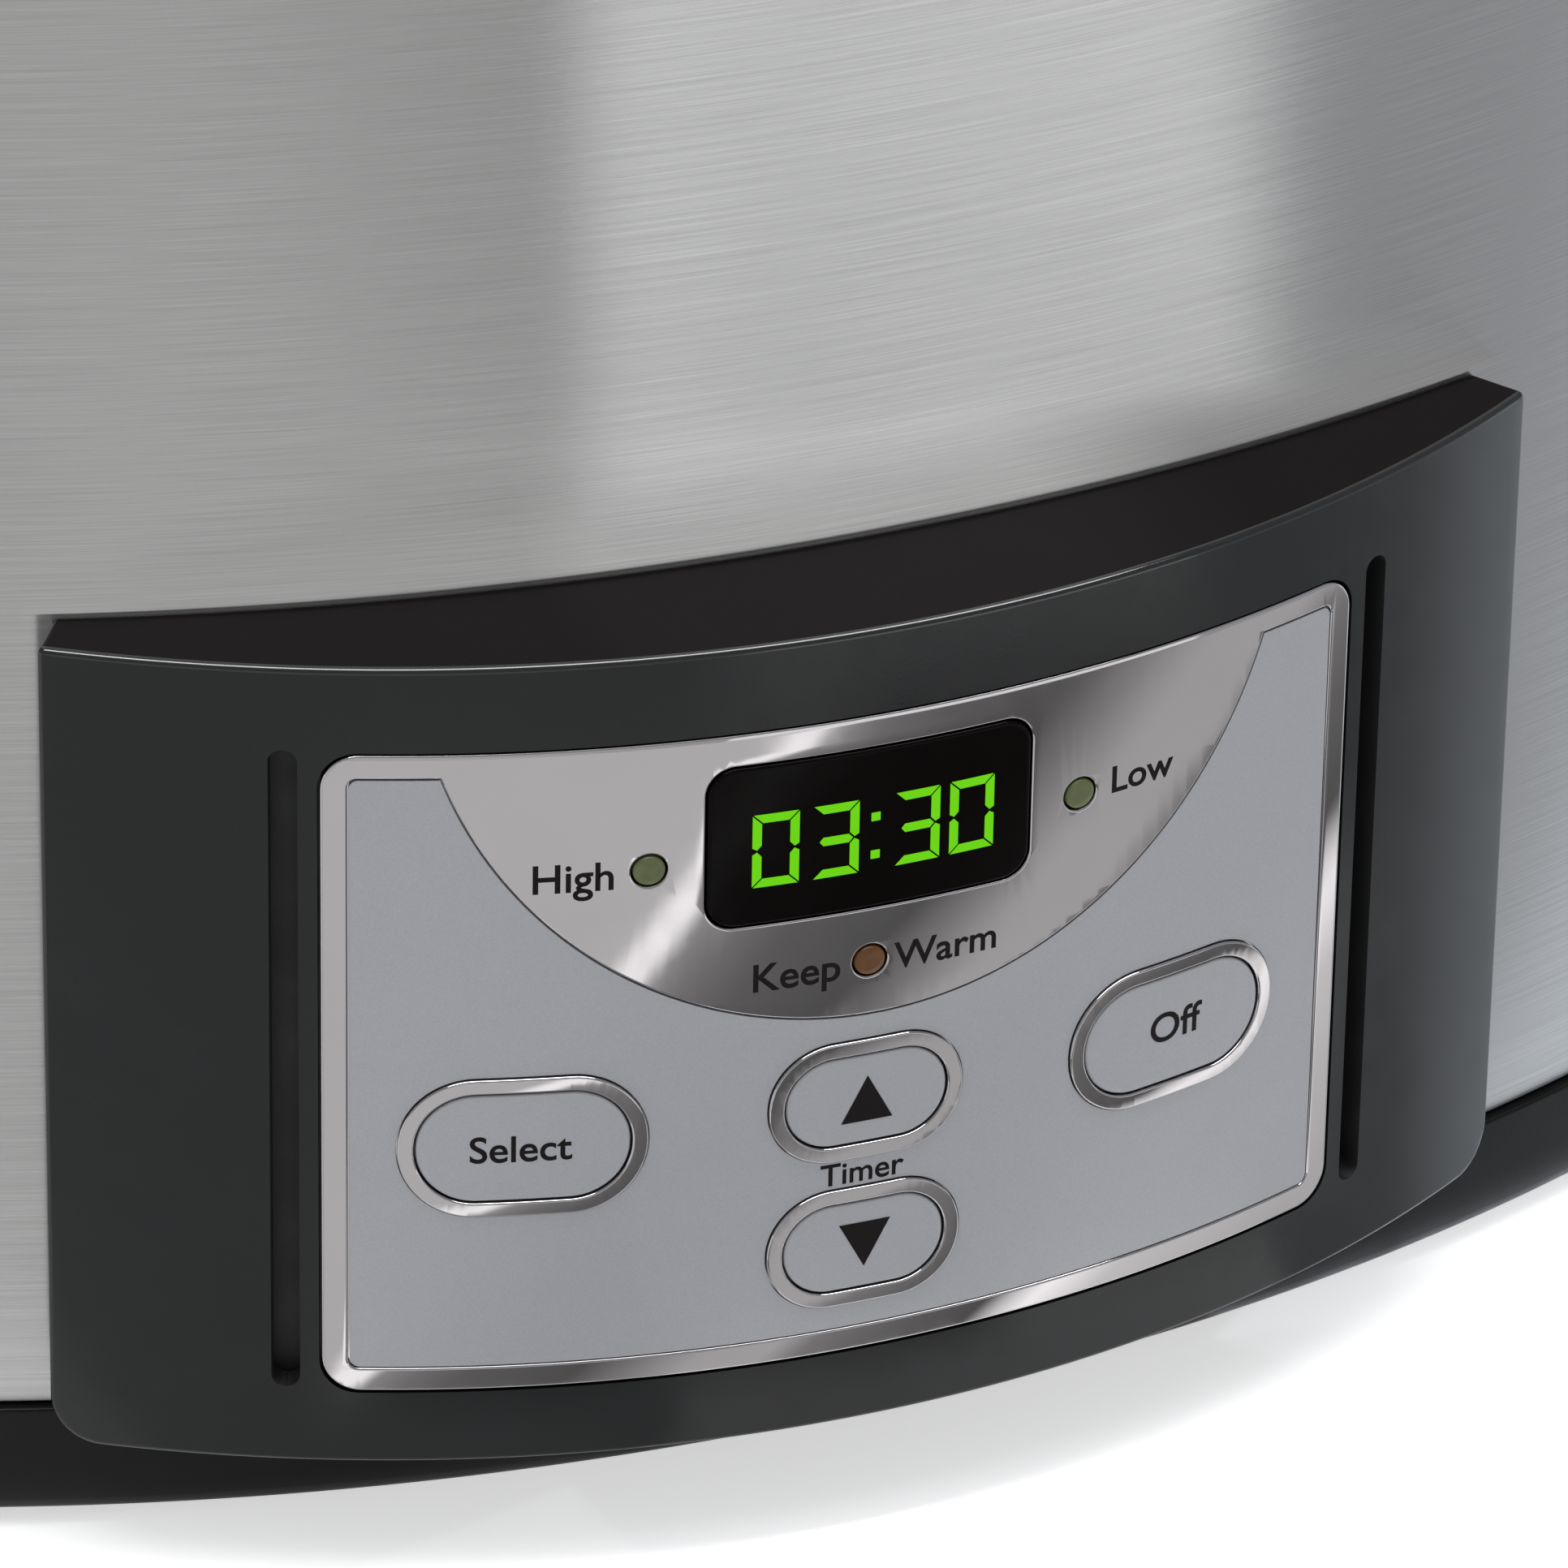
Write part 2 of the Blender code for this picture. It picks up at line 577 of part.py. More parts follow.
def make_buttons():
    for key, (along, up, _, _) in BUTTONS.items():
        name = key + "_button"
        ring = [button_outline(key, 0.0), button_outline(key, -RING_WIDTH)]
        panel_sheet(key + "_ring", ring, PLATE_FACE + SKIN_GAP, RING_PROUD, "chrome", along, up)
        pad_edge = -RING_WIDTH - BUTTON_PLAY
        back = PLATE_BACK - GAP
        pad = panel_sheet(name, [button_outline(key, pad_edge)], back - 0.0005, BUTTON_PROUD, "silver", along, up)
        flange = panel_sheet(key + "_flange", [button_outline(key, pad_edge + BUTTON_FLANGE)],
                             back - 0.0011, back, along=along, up=up)
        face_y = on_panel(along, up, 0.0).y
        board_y = BOARD_FRONT - PANEL_FRONT
        run = (board_y - face_y - SWITCH_HEIGHT - SWITCH_SLACK) * math.cos(along / PANEL_RADIUS)
        stem_length = run + back + 0.0002
        middle = on_panel(along, up, back - 0.0008 - stem_length / 2 + 0.0008)
        stem = cylinder(key + "_stem", 0.0022, stem_length, middle, turn=panel_turn(along), sides=12)
        join(pad, flange, stem)


def make_window():
    along, up, width, height, corner = WINDOW
    window = panel_sheet("display_window", [rounded(along, up, width, height, corner)], PLATE_BACK - 0.0010, 0.0001,
                         "window", along, up)
    flange = panel_sheet("window_flange", [rounded(along, up, width + 0.0024, height + 0.0016, corner)],
                         PLATE_BACK - 0.0014, PLATE_BACK - GAP, along=along, up=up)
    join(window, flange)
    back = 0.0040
    depth = BOARD_FRONT - GAP - back
    box("display_module", (0.030, depth, 0.014), (along, -PANEL_FRONT + back + depth / 2, up), "black")


def make_lamps():
    for key, (along, up) in LAMPS.items():
        turned(f"{key}_lamp", [
            (0.0, 0.0004), (0.0009, 0.00028), (LAMP_RADIUS, -0.0001), (LAMP_RADIUS, -0.0024), (0.0, -0.0024),
        ], "amber" if key == "warm" else "green", steps=20, at=on_panel(along, up, 0.0), turn=panel_turn(along))


def make_control_board():
    wide, thick, tall = BOARD_SIZE
    front_y = BOARD_FRONT - PANEL_FRONT
    board = box("control_board", BOARD_SIZE, (0.0, front_y + thick / 2, BOARD_Z), "board")
    for key, (along, up, _, _) in BUTTONS.items():
        spot_x = on_panel(along, up, 0.0).x * 0.96
        body = box(key + "_switch", (0.006, SWITCH_HEIGHT - 0.001, 0.006),
                   (spot_x, front_y - (SWITCH_HEIGHT - 0.001) / 2 + 0.0002, up))
        plunger = cylinder(key + "_plunger", 0.0015, SWITCH_HEIGHT, (spot_x, front_y - SWITCH_HEIGHT / 2 + 0.0003, up),
                           turn=(math.pi / 2, 0, 0), sides=10)
        join(board, body, plunger)
    for key, (along, up) in LAMPS.items():
        spot = on_panel(along, up, -0.0040)
        length = front_y - spot.y + 0.0002
        emitter = cylinder(key + "_emitter", 0.0012, length, (spot.x, spot.y + length / 2, up),
                           turn=(math.pi / 2, 0, 0), sides=10)
        join(board, emitter)


# ---- Handles and lid latches ------------------------------------------------------------------
def make_handle(side, name):
    """A grip with a finger opening, its curved mounting flange, and the two lugs of the lid latch."""
    middle_x = side * (HANDLE_REACH + 0.150) / 2
    long_x = HANDLE_REACH - 0.150
    outer = rounded(middle_x, 0.0, long_x, 2 * HANDLE_HALF, 0.014)
    grip = slab(f"handle_{name}", [outer], HANDLE_BOTTOM, HANDLE_TOP, "black")
    soften(grip, 0.0030)
    finger_outline = rounded(side * 0.1985, 0.0, 0.018, 0.056, 0.008)
    cut(grip, slab(f"finger_hole_{name}", [finger_outline], HANDLE_BOTTOM - 0.010, HANDLE_TOP + 0.010))
    flange_outside = BODY_RADIUS + 0.004
    flange = oval_part(f"flange_{name}", [
        (flange_outside, 0.1640), (flange_outside, 0.1300), (BODY_RADIUS - 0.003, 0.1300),
        (BODY_RADIUS - 0.003, 0.1640),
    ])
    keep = box(f"flange_keep_{name}", (0.080, 0.100, 0.080), (side * BODY_RADIUS, 0.0, 0.147))
    combine(flange, keep, "INTERSECT")
    join(grip, flange)
    for end in (-1, 1):
        lug = box(f"lug_{name}_{end + 1}", (0.0140, 0.0060, 0.0170), (side * 0.1848, end * 0.0255, 0.1583))
        join(grip, lug)
    wall = oval_part(f"handle_back_{name}", [
        (0.0, 0.200), (BODY_RADIUS + GAP, 0.200), (BODY_RADIUS + GAP, 0.100), (0.0, 0.100)])
    bore = cylinder(f"pivot_bore_{name}", WIRE_RADIUS + GAP, 0.080, (side * PIVOT_X, 0.0, PIVOT_Z),
                    turn=(math.pi / 2, 0, 0), sides=16)
    cut(grip, wall, bore)


def latch_points(side):
    """The bail's centre line, from one pivot end to the other, about its own pivot axis."""
    bend_radius = 0.0030
    half, reach, rise = LATCH_HALF, LATCH_REACH, LATCH_RISE
    corners = [(0.0, half, 0.0), (reach, half, 0.0), (reach, half, rise)]
    corners += [(x, -y, z) for x, y, z in reversed(corners)]
    ends = [(0.0, 0.0228, 0.0), (0.0, -0.0228, 0.0)]
    path = [Vector(point) for point in (ends[0], *corners, ends[1])]
    points = [path[0]]
    for before, corner, after in zip(path, path[1:], path[2:]):
        start = corner + (before - corner).normalized() * bend_radius
        finish = corner + (after - corner).normalized() * bend_radius
        for i in range(4):
            t = i / 3
            points.append(start * (1 - t) ** 2 + corner * 2 * t * (1 - t) + finish * t ** 2)
    points.append(path[-1])
    return [(side * point.x, point.y, point.z) for point in points]


def make_latch(side, name):
    pivot = (side * PIVOT_X, 0.0, PIVOT_Z)
    bail = f"latch_bail_{name}"
    place(bail, wire_mesh(bail, latch_points(side), WIRE_RADIUS), "zinc", pivot)
    tab_start, tab_end = 0.012, 0.0290
    tab_mesh = sheet_mesh(f"latch_tab_{name}", [rounded(side * (tab_start + tab_end) / 2, 0.0, tab_end - tab_start,
                                                        2 * LATCH_HALF + 0.008, 0.005)], -0.0034, 0.0034)
    tab = place(f"latch_tab_{name}", tab_mesh, "black", pivot)
    soften(tab, 0.0010)
    for end in (-1, 1):
        centre = (side * (PIVOT_X + tab_end / 2), end * LATCH_HALF, PIVOT_Z)
        cut(tab, cylinder(f"leg_bore_{name}_{end + 1}", WIRE_RADIUS + GAP, 0.060, centre,
                          turn=(0, math.pi / 2, 0), sides=12))


def make_handle_screws(side, name):
    """The screws run outwards through the steel wall into the handle, one above the other."""
    for row, height in (("lower", 0.1420), ("upper", 0.1520)):
        head_face = STEEL_INSIDE - 0.0008
        screw = turned(f"handle_screw_{row}_{name}", [
            (0.0, 0.0120), (0.0012, 0.0110), (0.0016, 0.0), (0.0034, 0.0), (0.0030, -0.0022), (0.0, -0.0022),
        ], "zinc", steps=12, at=(side * head_face, 0.0, height), turn=(0, side * math.pi / 2, 0))
        hole = cylinder(f"{screw.name}_hole", 0.0020, 0.020, (side * (head_face + 0.0040), 0.0, height),
                        turn=(0, math.pi / 2, 0), sides=12)
        cut(bpy.data.objects["steel_wrap"], hole)
        bore = cylinder(f"{screw.name}_bore", 0.0020, 0.0260, (side * (head_face + 0.0004), 0.0, height),
                        turn=(0, math.pi / 2, 0), sides=12)
        cut(bpy.data.objects[f"handle_{name}"], bore)


# ---- Crock and lid ------------------------------------------------------------------------------
def make_crock():
    oval_part("crock", [
        (0.0, 0.0438), (0.1240, 0.0438), (0.1370, 0.0475), (0.1455, 0.0570), (0.1560, 0.1815),
        (0.1585, 0.1848), (0.1705, LEDGE_Z), (0.1733, CROCK_TOP - 0.0010), (0.1748, CROCK_TOP),
        (0.1788, CROCK_TOP), (CROCK_OUTSIDE, 0.1870), (0.1808, 0.1809), (0.1790, CROCK_SEAT),
        (0.1662, CROCK_SEAT), (0.1634, 0.1772), (0.1535, 0.0600), (0.1475, 0.0410), (0.1385, 0.0350),
        (0.1300, 0.0336), (0.1275, 0.0350), (0.0, 0.0350),
    ], "stoneware")


def make_lid():
    glass = oval_part("lid_glass", [
        (0.0045, 0.2140), (0.0600, 0.2122), (0.1120, 0.2060), (0.1430, 0.1985), (0.1640, 0.1905),
        (0.1690, 0.1903), (0.1690, 0.1873), (0.1636, 0.1873), (0.1418, 0.1955), (0.1110, 0.2031),
        (0.0596, 0.2093), (0.0045, 0.2110),
    ], "glass")
    vent = (0.070, 0.0, 0.0)
    cut(glass, cylinder("vent_hole", 0.0046, 0.020, (vent[0], 0.0, 0.2100), sides=16))
    turned("vent_grommet", [
        (0.0060, 0.2142), (0.0070, 0.2132), (0.0070, 0.2122), (0.0043, 0.2122), (0.0040, 0.2060),
        (0.0020, 0.2060), (0.0020, 0.2142),
    ], "rubber", steps=16, at=vent)
    low = LEDGE_Z + GAP
    oval_part("lid_gasket", [
        (0.1712, 0.1916), (0.1716, 0.1908), (0.1716, 0.1886), (0.1696, low), (0.1640, low), (0.1640, 0.1870),
        (0.1694, 0.1870), (0.1694, 0.1906), (0.1655, 0.1908), (0.1655, 0.1916),
    ], "rubber")
    for side, name in ((-1, "left"), (1, "right")):
        ear = box(f"lid_ear_{name}", (0.0120, 0.0300, 0.0044), (side * 0.1680, 0.0, 0.1941), "black")
        lip = box(f"ear_lip_{name}", (0.0034, 0.0300, 0.0080), (side * 0.1637, 0.0, 0.1960))
        join(ear, lip)


def make_knob():
    base = 0.2143
    turned("knob_escutcheon", [
        (0.0210, base + 0.0016), (0.0240, base + 0.0008), (0.0240, base), (0.0042, base), (0.0042, base + 0.0016),
    ], "chrome", steps=24)
    foot = base + 0.0016 + GAP
    turned("lid_knob", [
        (0.0, 0.2412), (0.0120, 0.2408), (0.0215, 0.2385), (0.0240, 0.2345), (0.0215, 0.2308),
        (0.0135, 0.2262), (0.0122, 0.2220), (0.0165, 0.2172), (0.0172, foot),
        (0.0028, foot), (0.0028, 0.2300), (0.0, 0.2300),
    ], "black", steps=24)
    head = 0.2106
    turned("knob_screw", [
        (0.0, 0.2280), (0.0016, 0.2280), (0.0024, 0.2270), (0.0024, head), (0.0060, head),
        (0.0052, head - 0.0026), (0.0, head - 0.0026),
    ], "zinc", steps=16)


def main():
    make_steel_wrap()
    make_base()
    make_cord_gland()
    make_well()
    make_centre_bolt()
    make_sensor()
    make_power_unit()
    make_rim_collar()
    make_housing()
    make_faceplate()
    make_buttons()
    make_window()
    make_lamps()
    make_control_board()
    for side, name in ((-1, "left"), (1, "right")):
        make_handle(side, name)
        make_latch(side, name)
        make_handle_screws(side, name)
    make_crock()
    make_lid()
    make_knob()
    CUTTERS.hide_render = True


main()
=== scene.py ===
"""The looks of an oval programmable slow cooker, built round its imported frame.

Lengths are metres unless a name ends in _mm.  The control panel faces -Y and the feet stand on z = 0.
The cooker's own middle lies at y = BODY_Y, and every turned or bent piece is made about it.
"""

import json
import math

import bmesh
import bpy
import numpy as np
from mathutils import Matrix, Vector, geometry


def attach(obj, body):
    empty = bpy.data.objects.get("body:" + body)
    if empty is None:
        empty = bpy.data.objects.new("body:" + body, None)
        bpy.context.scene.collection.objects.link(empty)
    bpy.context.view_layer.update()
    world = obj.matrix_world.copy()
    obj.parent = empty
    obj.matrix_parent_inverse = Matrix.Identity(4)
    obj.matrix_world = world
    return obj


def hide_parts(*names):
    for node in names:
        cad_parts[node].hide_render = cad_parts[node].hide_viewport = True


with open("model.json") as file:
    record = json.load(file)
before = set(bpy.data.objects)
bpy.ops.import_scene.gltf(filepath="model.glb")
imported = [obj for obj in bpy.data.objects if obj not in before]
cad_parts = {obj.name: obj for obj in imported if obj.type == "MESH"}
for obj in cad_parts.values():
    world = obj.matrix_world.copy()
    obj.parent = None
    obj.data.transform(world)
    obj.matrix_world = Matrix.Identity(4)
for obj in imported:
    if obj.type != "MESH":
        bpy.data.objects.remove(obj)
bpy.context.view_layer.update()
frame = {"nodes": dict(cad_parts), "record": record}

# ---- Sizes, which follow the CAD model to a fraction of a millimetre ----
BODY_Y = 0.0064
BODY_RADIUS = 0.180
OVAL = 0.775
STEEL_TOP = 0.177
SEAM_Z = 0.0128
PANEL_RADIUS = 0.1235
PANEL_FRONT = 0.1550
PANEL_HALF = 0.0722
PANEL_BOTTOM = 0.0123
PANEL_TOP = 0.0913
PANEL_WALL = 0.0024
PLATE_HALF = 0.0483
PLATE_BOTTOM = 0.0197
PLATE_TOP = 0.0830
PLATE_CORNER = 0.0034
PLATE_BORDER = 0.0023
DISC_CENTRE_Z = 0.0939
DISC_RADIUS = 0.0403
MIDDLE = -0.0007
WINDOW = (MIDDLE, 0.0720, 0.0294, 0.0155, 0.0026)
LAMP_RADIUS = 0.00145
LAMPS = {
    "high": (MIDDLE - 0.0197, 0.0707),
    "low": (MIDDLE + 0.0197, 0.0707),
    "warm": (MIDDLE, 0.0589),
}
BUTTONS = {
    "select": (MIDDLE - 0.0303, 0.0442, 0.0216, 0.0137),
    "off": (MIDDLE + 0.0303, 0.0442, 0.0216, 0.0137),
    "timer_up": (MIDDLE, 0.0452, 0.0178, 0.0118),
    "timer_down": (MIDDLE, 0.0304, 0.0178, 0.0118),
}
RING_WIDTH = 0.0014
SLOT_ALONG = 0.0514
SLOT_WIDTH = 0.0025
SLOT_BOTTOM = 0.0200
SLOT_TOP = 0.0834
SLOT_Z = (SLOT_BOTTOM + SLOT_TOP) / 2
PLATE_Z = (PLATE_BOTTOM + PLATE_TOP) / 2
SIDES = ((-1, "left"), (1, "right"))
GLAND_Z = 0.035
PIVOT_X = 0.187
PIVOT_Z = 0.162

# ---- The view ----
# The camera looks at this point on the panel. STREAK_ACROSS crosses the plate's slanting streaks, in the
# camera's own plane, and the card that makes them starts and spans these distances from that point.
PANEL_VIEWED = Vector((-0.00751, BODY_Y - 0.150, 0.07702))
CAMERA_TURN, CAMERA_TILT, CAMERA_ROLL = (math.radians(angle) for angle in (21.643, 30.101, 1.045))
CAMERA_DISTANCE = 1.0138
SENSOR_MM, LENS_MM = 36.0, 274.945
LENS_SHIFT = (0.00393, -0.01383)
STREAK_ACROSS = Vector((0.816, -0.579, 0.0)).normalized()
STREAKS_START, STREAKS_SPAN = -0.0313, 0.0905


# ---- Meshes and their shading ----
def read(items, attribute, width=1, kind=np.float32):
    """One attribute of every vertex, corner or face, as an array."""
    values = np.empty(len(items) * width, kind)
    items.foreach_get(attribute, values)
    return values.reshape(-1, width).astype(float) if width > 1 else values


def weighted_normals(mesh, angle=35.0):
    """Per-corner normals that average the faces round each point by area, up to this angle apart."""
    corner_vertex = read(mesh.loops, "vertex_index", kind=np.int32)
    totals = read(mesh.polygons, "loop_total", kind=np.int32)
    corner_face = np.repeat(np.arange(len(totals)), totals)
    normals = read(mesh.polygons, "normal", 3)
    areas = read(mesh.polygons, "area")
    order = np.argsort(corner_vertex, kind="stable")
    count = np.bincount(corner_vertex, minlength=len(mesh.vertices))
    start = np.concatenate([[0], np.cumsum(count)[:-1]])
    own = normals[corner_face]
    total = np.zeros((len(corner_vertex), 3))
    limit = math.cos(math.radians(angle))
    for k in range(count.max()):
        has = count[corner_vertex] > k
        partner = corner_face[order[start[corner_vertex[has]] + k]]
        close = np.einsum("ij,ij->i", own[has], normals[partner]) > limit
        share = normals[partner] * (areas[partner] * close)[:, None]
        total[has] += share
    length = np.linalg.norm(total, axis=1, keepdims=True)
    return np.where(length > 1e-15, total / np.maximum(length, 1e-15), own)


def set_normals(mesh, normals):
    mesh.polygons.foreach_set("use_smooth", np.ones(len(mesh.polygons), bool))
    mesh.normals_split_custom_set(normals.tolist())


def mesh_of(points, faces, name="mesh"):
    mesh = bpy.data.meshes.new(name)
    mesh.from_pydata([tuple(p) for p in points], [], faces)
    mesh.validate()
    return mesh


def tidy(mesh, merge=1e-6):
    form = bmesh.new()
    form.from_mesh(mesh)
    bmesh.ops.remove_doubles(form, verts=form.verts, dist=merge)
    bmesh.ops.recalc_face_normals(form, faces=form.faces)
    form.to_mesh(mesh)
    form.free()


def placed(name, data):
    item = bpy.data.objects.new(name, data)
    bpy.context.scene.collection.objects.link(item)
    return item


def add(name, mesh, finish, body, replaces=()):
    """Puts a finished mesh in the scene, riding on a body and standing for CAD nodes."""
    item = placed(name, mesh)
    for one in finish if isinstance(finish, list) else [finish]:
        mesh.materials.append(one)
    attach(item, body)
    if replaces:
        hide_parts(*replaces)
    return item


def boolean(mesh, steps):
    """The mesh after a list of (operation, other mesh), worked out once."""
    holder = placed("holder", mesh)
    others = []
    for operation, other in steps:
        item = placed("other", other)
        modifier = holder.modifiers.new(operation, "BOOLEAN")
        modifier.operation = operation
        modifier.solver = "EXACT"
        modifier.object = item
        others.append(item)
    graph = bpy.context.evaluated_depsgraph_get()
    result = bpy.data.meshes.new_from_object(holder.evaluated_get(graph))
    for item in (holder, *others):
        bpy.data.objects.remove(item, do_unlink=True)
    return result


def mesh_from_curve(curve, merge):
    holder = placed(curve.name, curve)
    graph = bpy.context.evaluated_depsgraph_get()
    mesh = bpy.data.meshes.new_from_object(holder.evaluated_get(graph))
    bpy.data.objects.remove(holder, do_unlink=True)
    tidy(mesh, merge)
    return mesh


def cut(mesh, others):
    return boolean(mesh, [("DIFFERENCE", other) for other in others])


# ---- Turned pieces ----
def filleted(points, closed, steps=4):
    """A profile whose points may carry a third number, the size of the curve that rounds them."""
    smooth = []
    for i, point in enumerate(points):
        here = Vector(point[:2])
        inside = closed or 0 < i < len(points) - 1
        if len(point) < 3 or not inside:
            smooth.append(here)
            continue
        before = Vector(points[i - 1][:2]) - here
        after = Vector(points[(i + 1) % len(points)][:2]) - here
        start = here + before.normalized() * min(point[2], before.length * 0.48)
        end = here + after.normalized() * min(point[2], after.length * 0.48)
        for k in range(steps + 1):
            t = k / steps
            smooth.append(start * (1 - t) ** 2 + here * 2 * t * (1 - t) + end * t ** 2)
    return smooth


def lathe(profile_mm, steps=256, oval=OVAL, centre=(0.0, BODY_Y, 0.0), angle=35.0):
    """A profile of (radius, height[, fillet]) in mm, run down the outside first, turned about Z."""
    closed = all(point[0] > 0 for point in profile_mm)
    profile = [point * 0.001 for point in filleted(profile_mm, closed)]
    points, rings, lengths = [], [], [0.0]
    for i, (radius, height) in enumerate(profile):
        if i:
            lengths.append(lengths[-1] + (profile[i] - profile[i - 1]).length)
        ring = []
        for k in range(1 if radius < 1e-9 else steps):
            turn = 2 * math.pi * k / steps
            ring.append(len(points))
            points.append((centre[0] + radius * math.cos(turn),
                           centre[1] + radius * oval * math.sin(turn), centre[2] + height))
        rings.append(ring)
    faces, shares = [], []
    pairs = list(zip(range(len(rings)), range(1, len(rings))))
    if closed:
        pairs.append((len(rings) - 1, 0))
    for upper, lower in pairs:
        start, end = lengths[upper], lengths[lower] if lower else lengths[-1] + 0.002
        for k in range(steps):
            face = []
            for row, step, along in ((upper, k, start), (lower, k, end), (lower, k + 1, end),
                                     (upper, k + 1, start)):
                point = rings[row][step % len(rings[row])]
                if point not in face:
                    face.append(point)
                    shares.append((step / steps, along))
            faces.append(face)
    mesh = mesh_of(points, faces)
    around_length = 2 * math.pi * max(r for r, _ in profile) * (1 + oval) / 2
    layer = mesh.uv_layers.new(name="UVMap")
    layer.data.foreach_set("uv", [v for u, w in shares for v in (u * around_length, w)])
    set_normals(mesh, weighted_normals(mesh, angle))
    return mesh


# ---- Sheets and slabs ----
def quarter_turn(centre_x, centre_y, radius, quarter, steps=6):
    """The points of a quarter circle, from this quarter of a turn anticlockwise."""
    turns = [(quarter + i / steps) * math.pi / 2 for i in range(steps + 1)]
    return [(centre_x + radius * math.cos(a), centre_y + radius * math.sin(a)) for a in turns]


def rounded(centre_x, centre_y, width, height, radius, steps=10, upper=None):
    """A rectangle with round corners, anticlockwise; upper gives its top corners another radius."""
    points = []
    for quarter, (side_x, side_y) in enumerate(((1, 1), (-1, 1), (-1, -1), (1, -1))):
        own = upper if upper is not None and side_y > 0 else radius
        points += quarter_turn(centre_x + side_x * (width / 2 - own), centre_y + side_y * (height / 2 - own),
                               own, quarter, steps)
    return points


def stadium(centre_x, centre_y, width, height, grow=0.0, steps=16):
    height += 2 * grow
    return rounded(centre_x, centre_y, width + 2 * grow, height, height / 2 * 0.985, steps)


def circle(centre_x, centre_y, radius, steps=48):
    turns = [2 * math.pi * i / steps for i in range(steps)]
    return [(centre_x + radius * math.cos(a), centre_y + radius * math.sin(a)) for a in turns]


def moved_in(outline, distance, side):
    """The outline moved into the material by this distance, with its corners kept sharp."""
    count = len(outline)
    result = []
    for i, (x, y) in enumerate(outline):
        normals = []
        for a, b in ((outline[i - 1], (x, y)), ((x, y), outline[(i + 1) % count])):
            edge = Vector((b[0] - a[0], b[1] - a[1]))
            if edge.length > 1e-9:
                normals.append(Vector((edge.y, -edge.x)).normalized() * side)
        normal = sum(normals, Vector((0.0, 0.0))).normalized()
        reach = distance / max(normal.dot(normals[0]), 0.5)
        result.append((x - normal.x * reach, y - normal.y * reach))
    return result


def sheet(outlines, low, high, edge=0.0, under=0.0, steps=4):
    """A flat slab; the first outline bounds it and the others are holes. edge rounds the top rim."""
    layers = []
    for k in range(steps + 1 if under else 1):
        turn = math.pi / 2 * (1 - k / steps) if under else 0.0
        layers.append((under * (1 - math.cos(turn)), low + under * (1 - math.sin(turn))))
    for k in range(0, steps + 1 if edge else 1):
        turn = math.pi / 2 * k / steps if edge else 0.0
        layers.append((edge * (1 - math.cos(turn)), high - edge * (1 - math.sin(turn))))
    points, faces, firsts = [], [], []
    for number, outline in enumerate(outlines):
        side = -1 if number else 1
        count = len(outline)
        first = len(points)
        for offset, depth in layers:
            points += [(x, y, depth) for x, y in moved_in(outline, offset, side)]
        for row in range(len(layers) - 1):
            for i in range(count):
                a = first + row * count + i
                b = first + row * count + (i + 1) % count
                quad = (a, b, b + count, a + count)
                faces.append(quad if side > 0 else quad[::-1])
        firsts.append((first, count))
    for row, up in ((0, -1), (len(layers) - 1, 1)):
        index, loops = [], []
        for first, count in firsts:
            here = range(first + row * count, first + (row + 1) * count)
            index += here
            loops.append([Vector(points[i]) for i in here])
        for a, b, c in geometry.tessellate_polygon(loops):
            pa, pb, pc = (Vector(points[index[k]]) for k in (a, b, c))
            turn = (pb - pa).cross(pc - pa).z
            if abs(turn) > 1e-16:
                if turn * up < 0:
                    b, c = c, b
                faces.append((index[a], index[b], index[c]))
    mesh = mesh_of(points, faces)
    form = bmesh.new()
    form.from_mesh(mesh)
    bmesh.ops.remove_doubles(form, verts=form.verts, dist=1e-7)
    bmesh.ops.dissolve_limit(form, angle_limit=0.0005, verts=form.verts, edges=form.edges)
    form.to_mesh(mesh)
    form.free()
    return mesh


def sliced(mesh, step):
    """Cuts the mesh into columns this wide, so that it bends smoothly."""
    form = bmesh.new()
    form.from_mesh(mesh)
    columns = int(PANEL_HALF / step) + 2
    low = min(vertex.co.x for vertex in form.verts)
    high = max(vertex.co.x for vertex in form.verts)
    for i in range(-columns, columns + 1):
        if low < i * step < high:
            everything = form.verts[:] + form.edges[:] + form.faces[:]
            bmesh.ops.bisect_plane(form, geom=everything, dist=1e-7,
                                   plane_co=(i * step, 0, 0), plane_no=(1, 0, 0))
    bmesh.ops.triangulate(form, faces=[f for f in form.faces if len(f.verts) > 4])
    form.to_mesh(mesh)
    form.free()


def bent(mesh, step=0.0015, angle=35.0):
    """The flat mesh of (along, up, depth) bent round the control panel, with its shading."""
    sliced(mesh, step)
    normals = weighted_normals(mesh, angle)
    flat = read(mesh.vertices, "co", 3)
    turn = flat[:, 0] / PANEL_RADIUS
    reach = PANEL_RADIUS + flat[:, 2]
    bent_points = np.stack([reach * np.sin(turn),
                            BODY_Y + PANEL_RADIUS - PANEL_FRONT - reach * np.cos(turn), flat[:, 1]], 1)
    mesh.vertices.foreach_set("co", bent_points.astype(np.float32).ravel())
    a = turn[read(mesh.loops, "vertex_index", kind=np.int32)]
    along = np.stack([np.cos(a), np.sin(a), np.zeros_like(a)], 1)
    out = np.stack([np.sin(a), -np.cos(a), np.zeros_like(a)], 1)
    world = normals[:, :1] * along + normals[:, 2:] * out
    world[:, 2] += normals[:, 1]
    mesh.update()
    set_normals(mesh, world)
    return mesh


def on_panel(along, up, depth=0.0):
    turn = along / PANEL_RADIUS
    reach = PANEL_RADIUS + depth
    middle_y = BODY_Y + PANEL_RADIUS - PANEL_FRONT
    return Vector((reach * math.sin(turn), middle_y - reach * math.cos(turn), up))


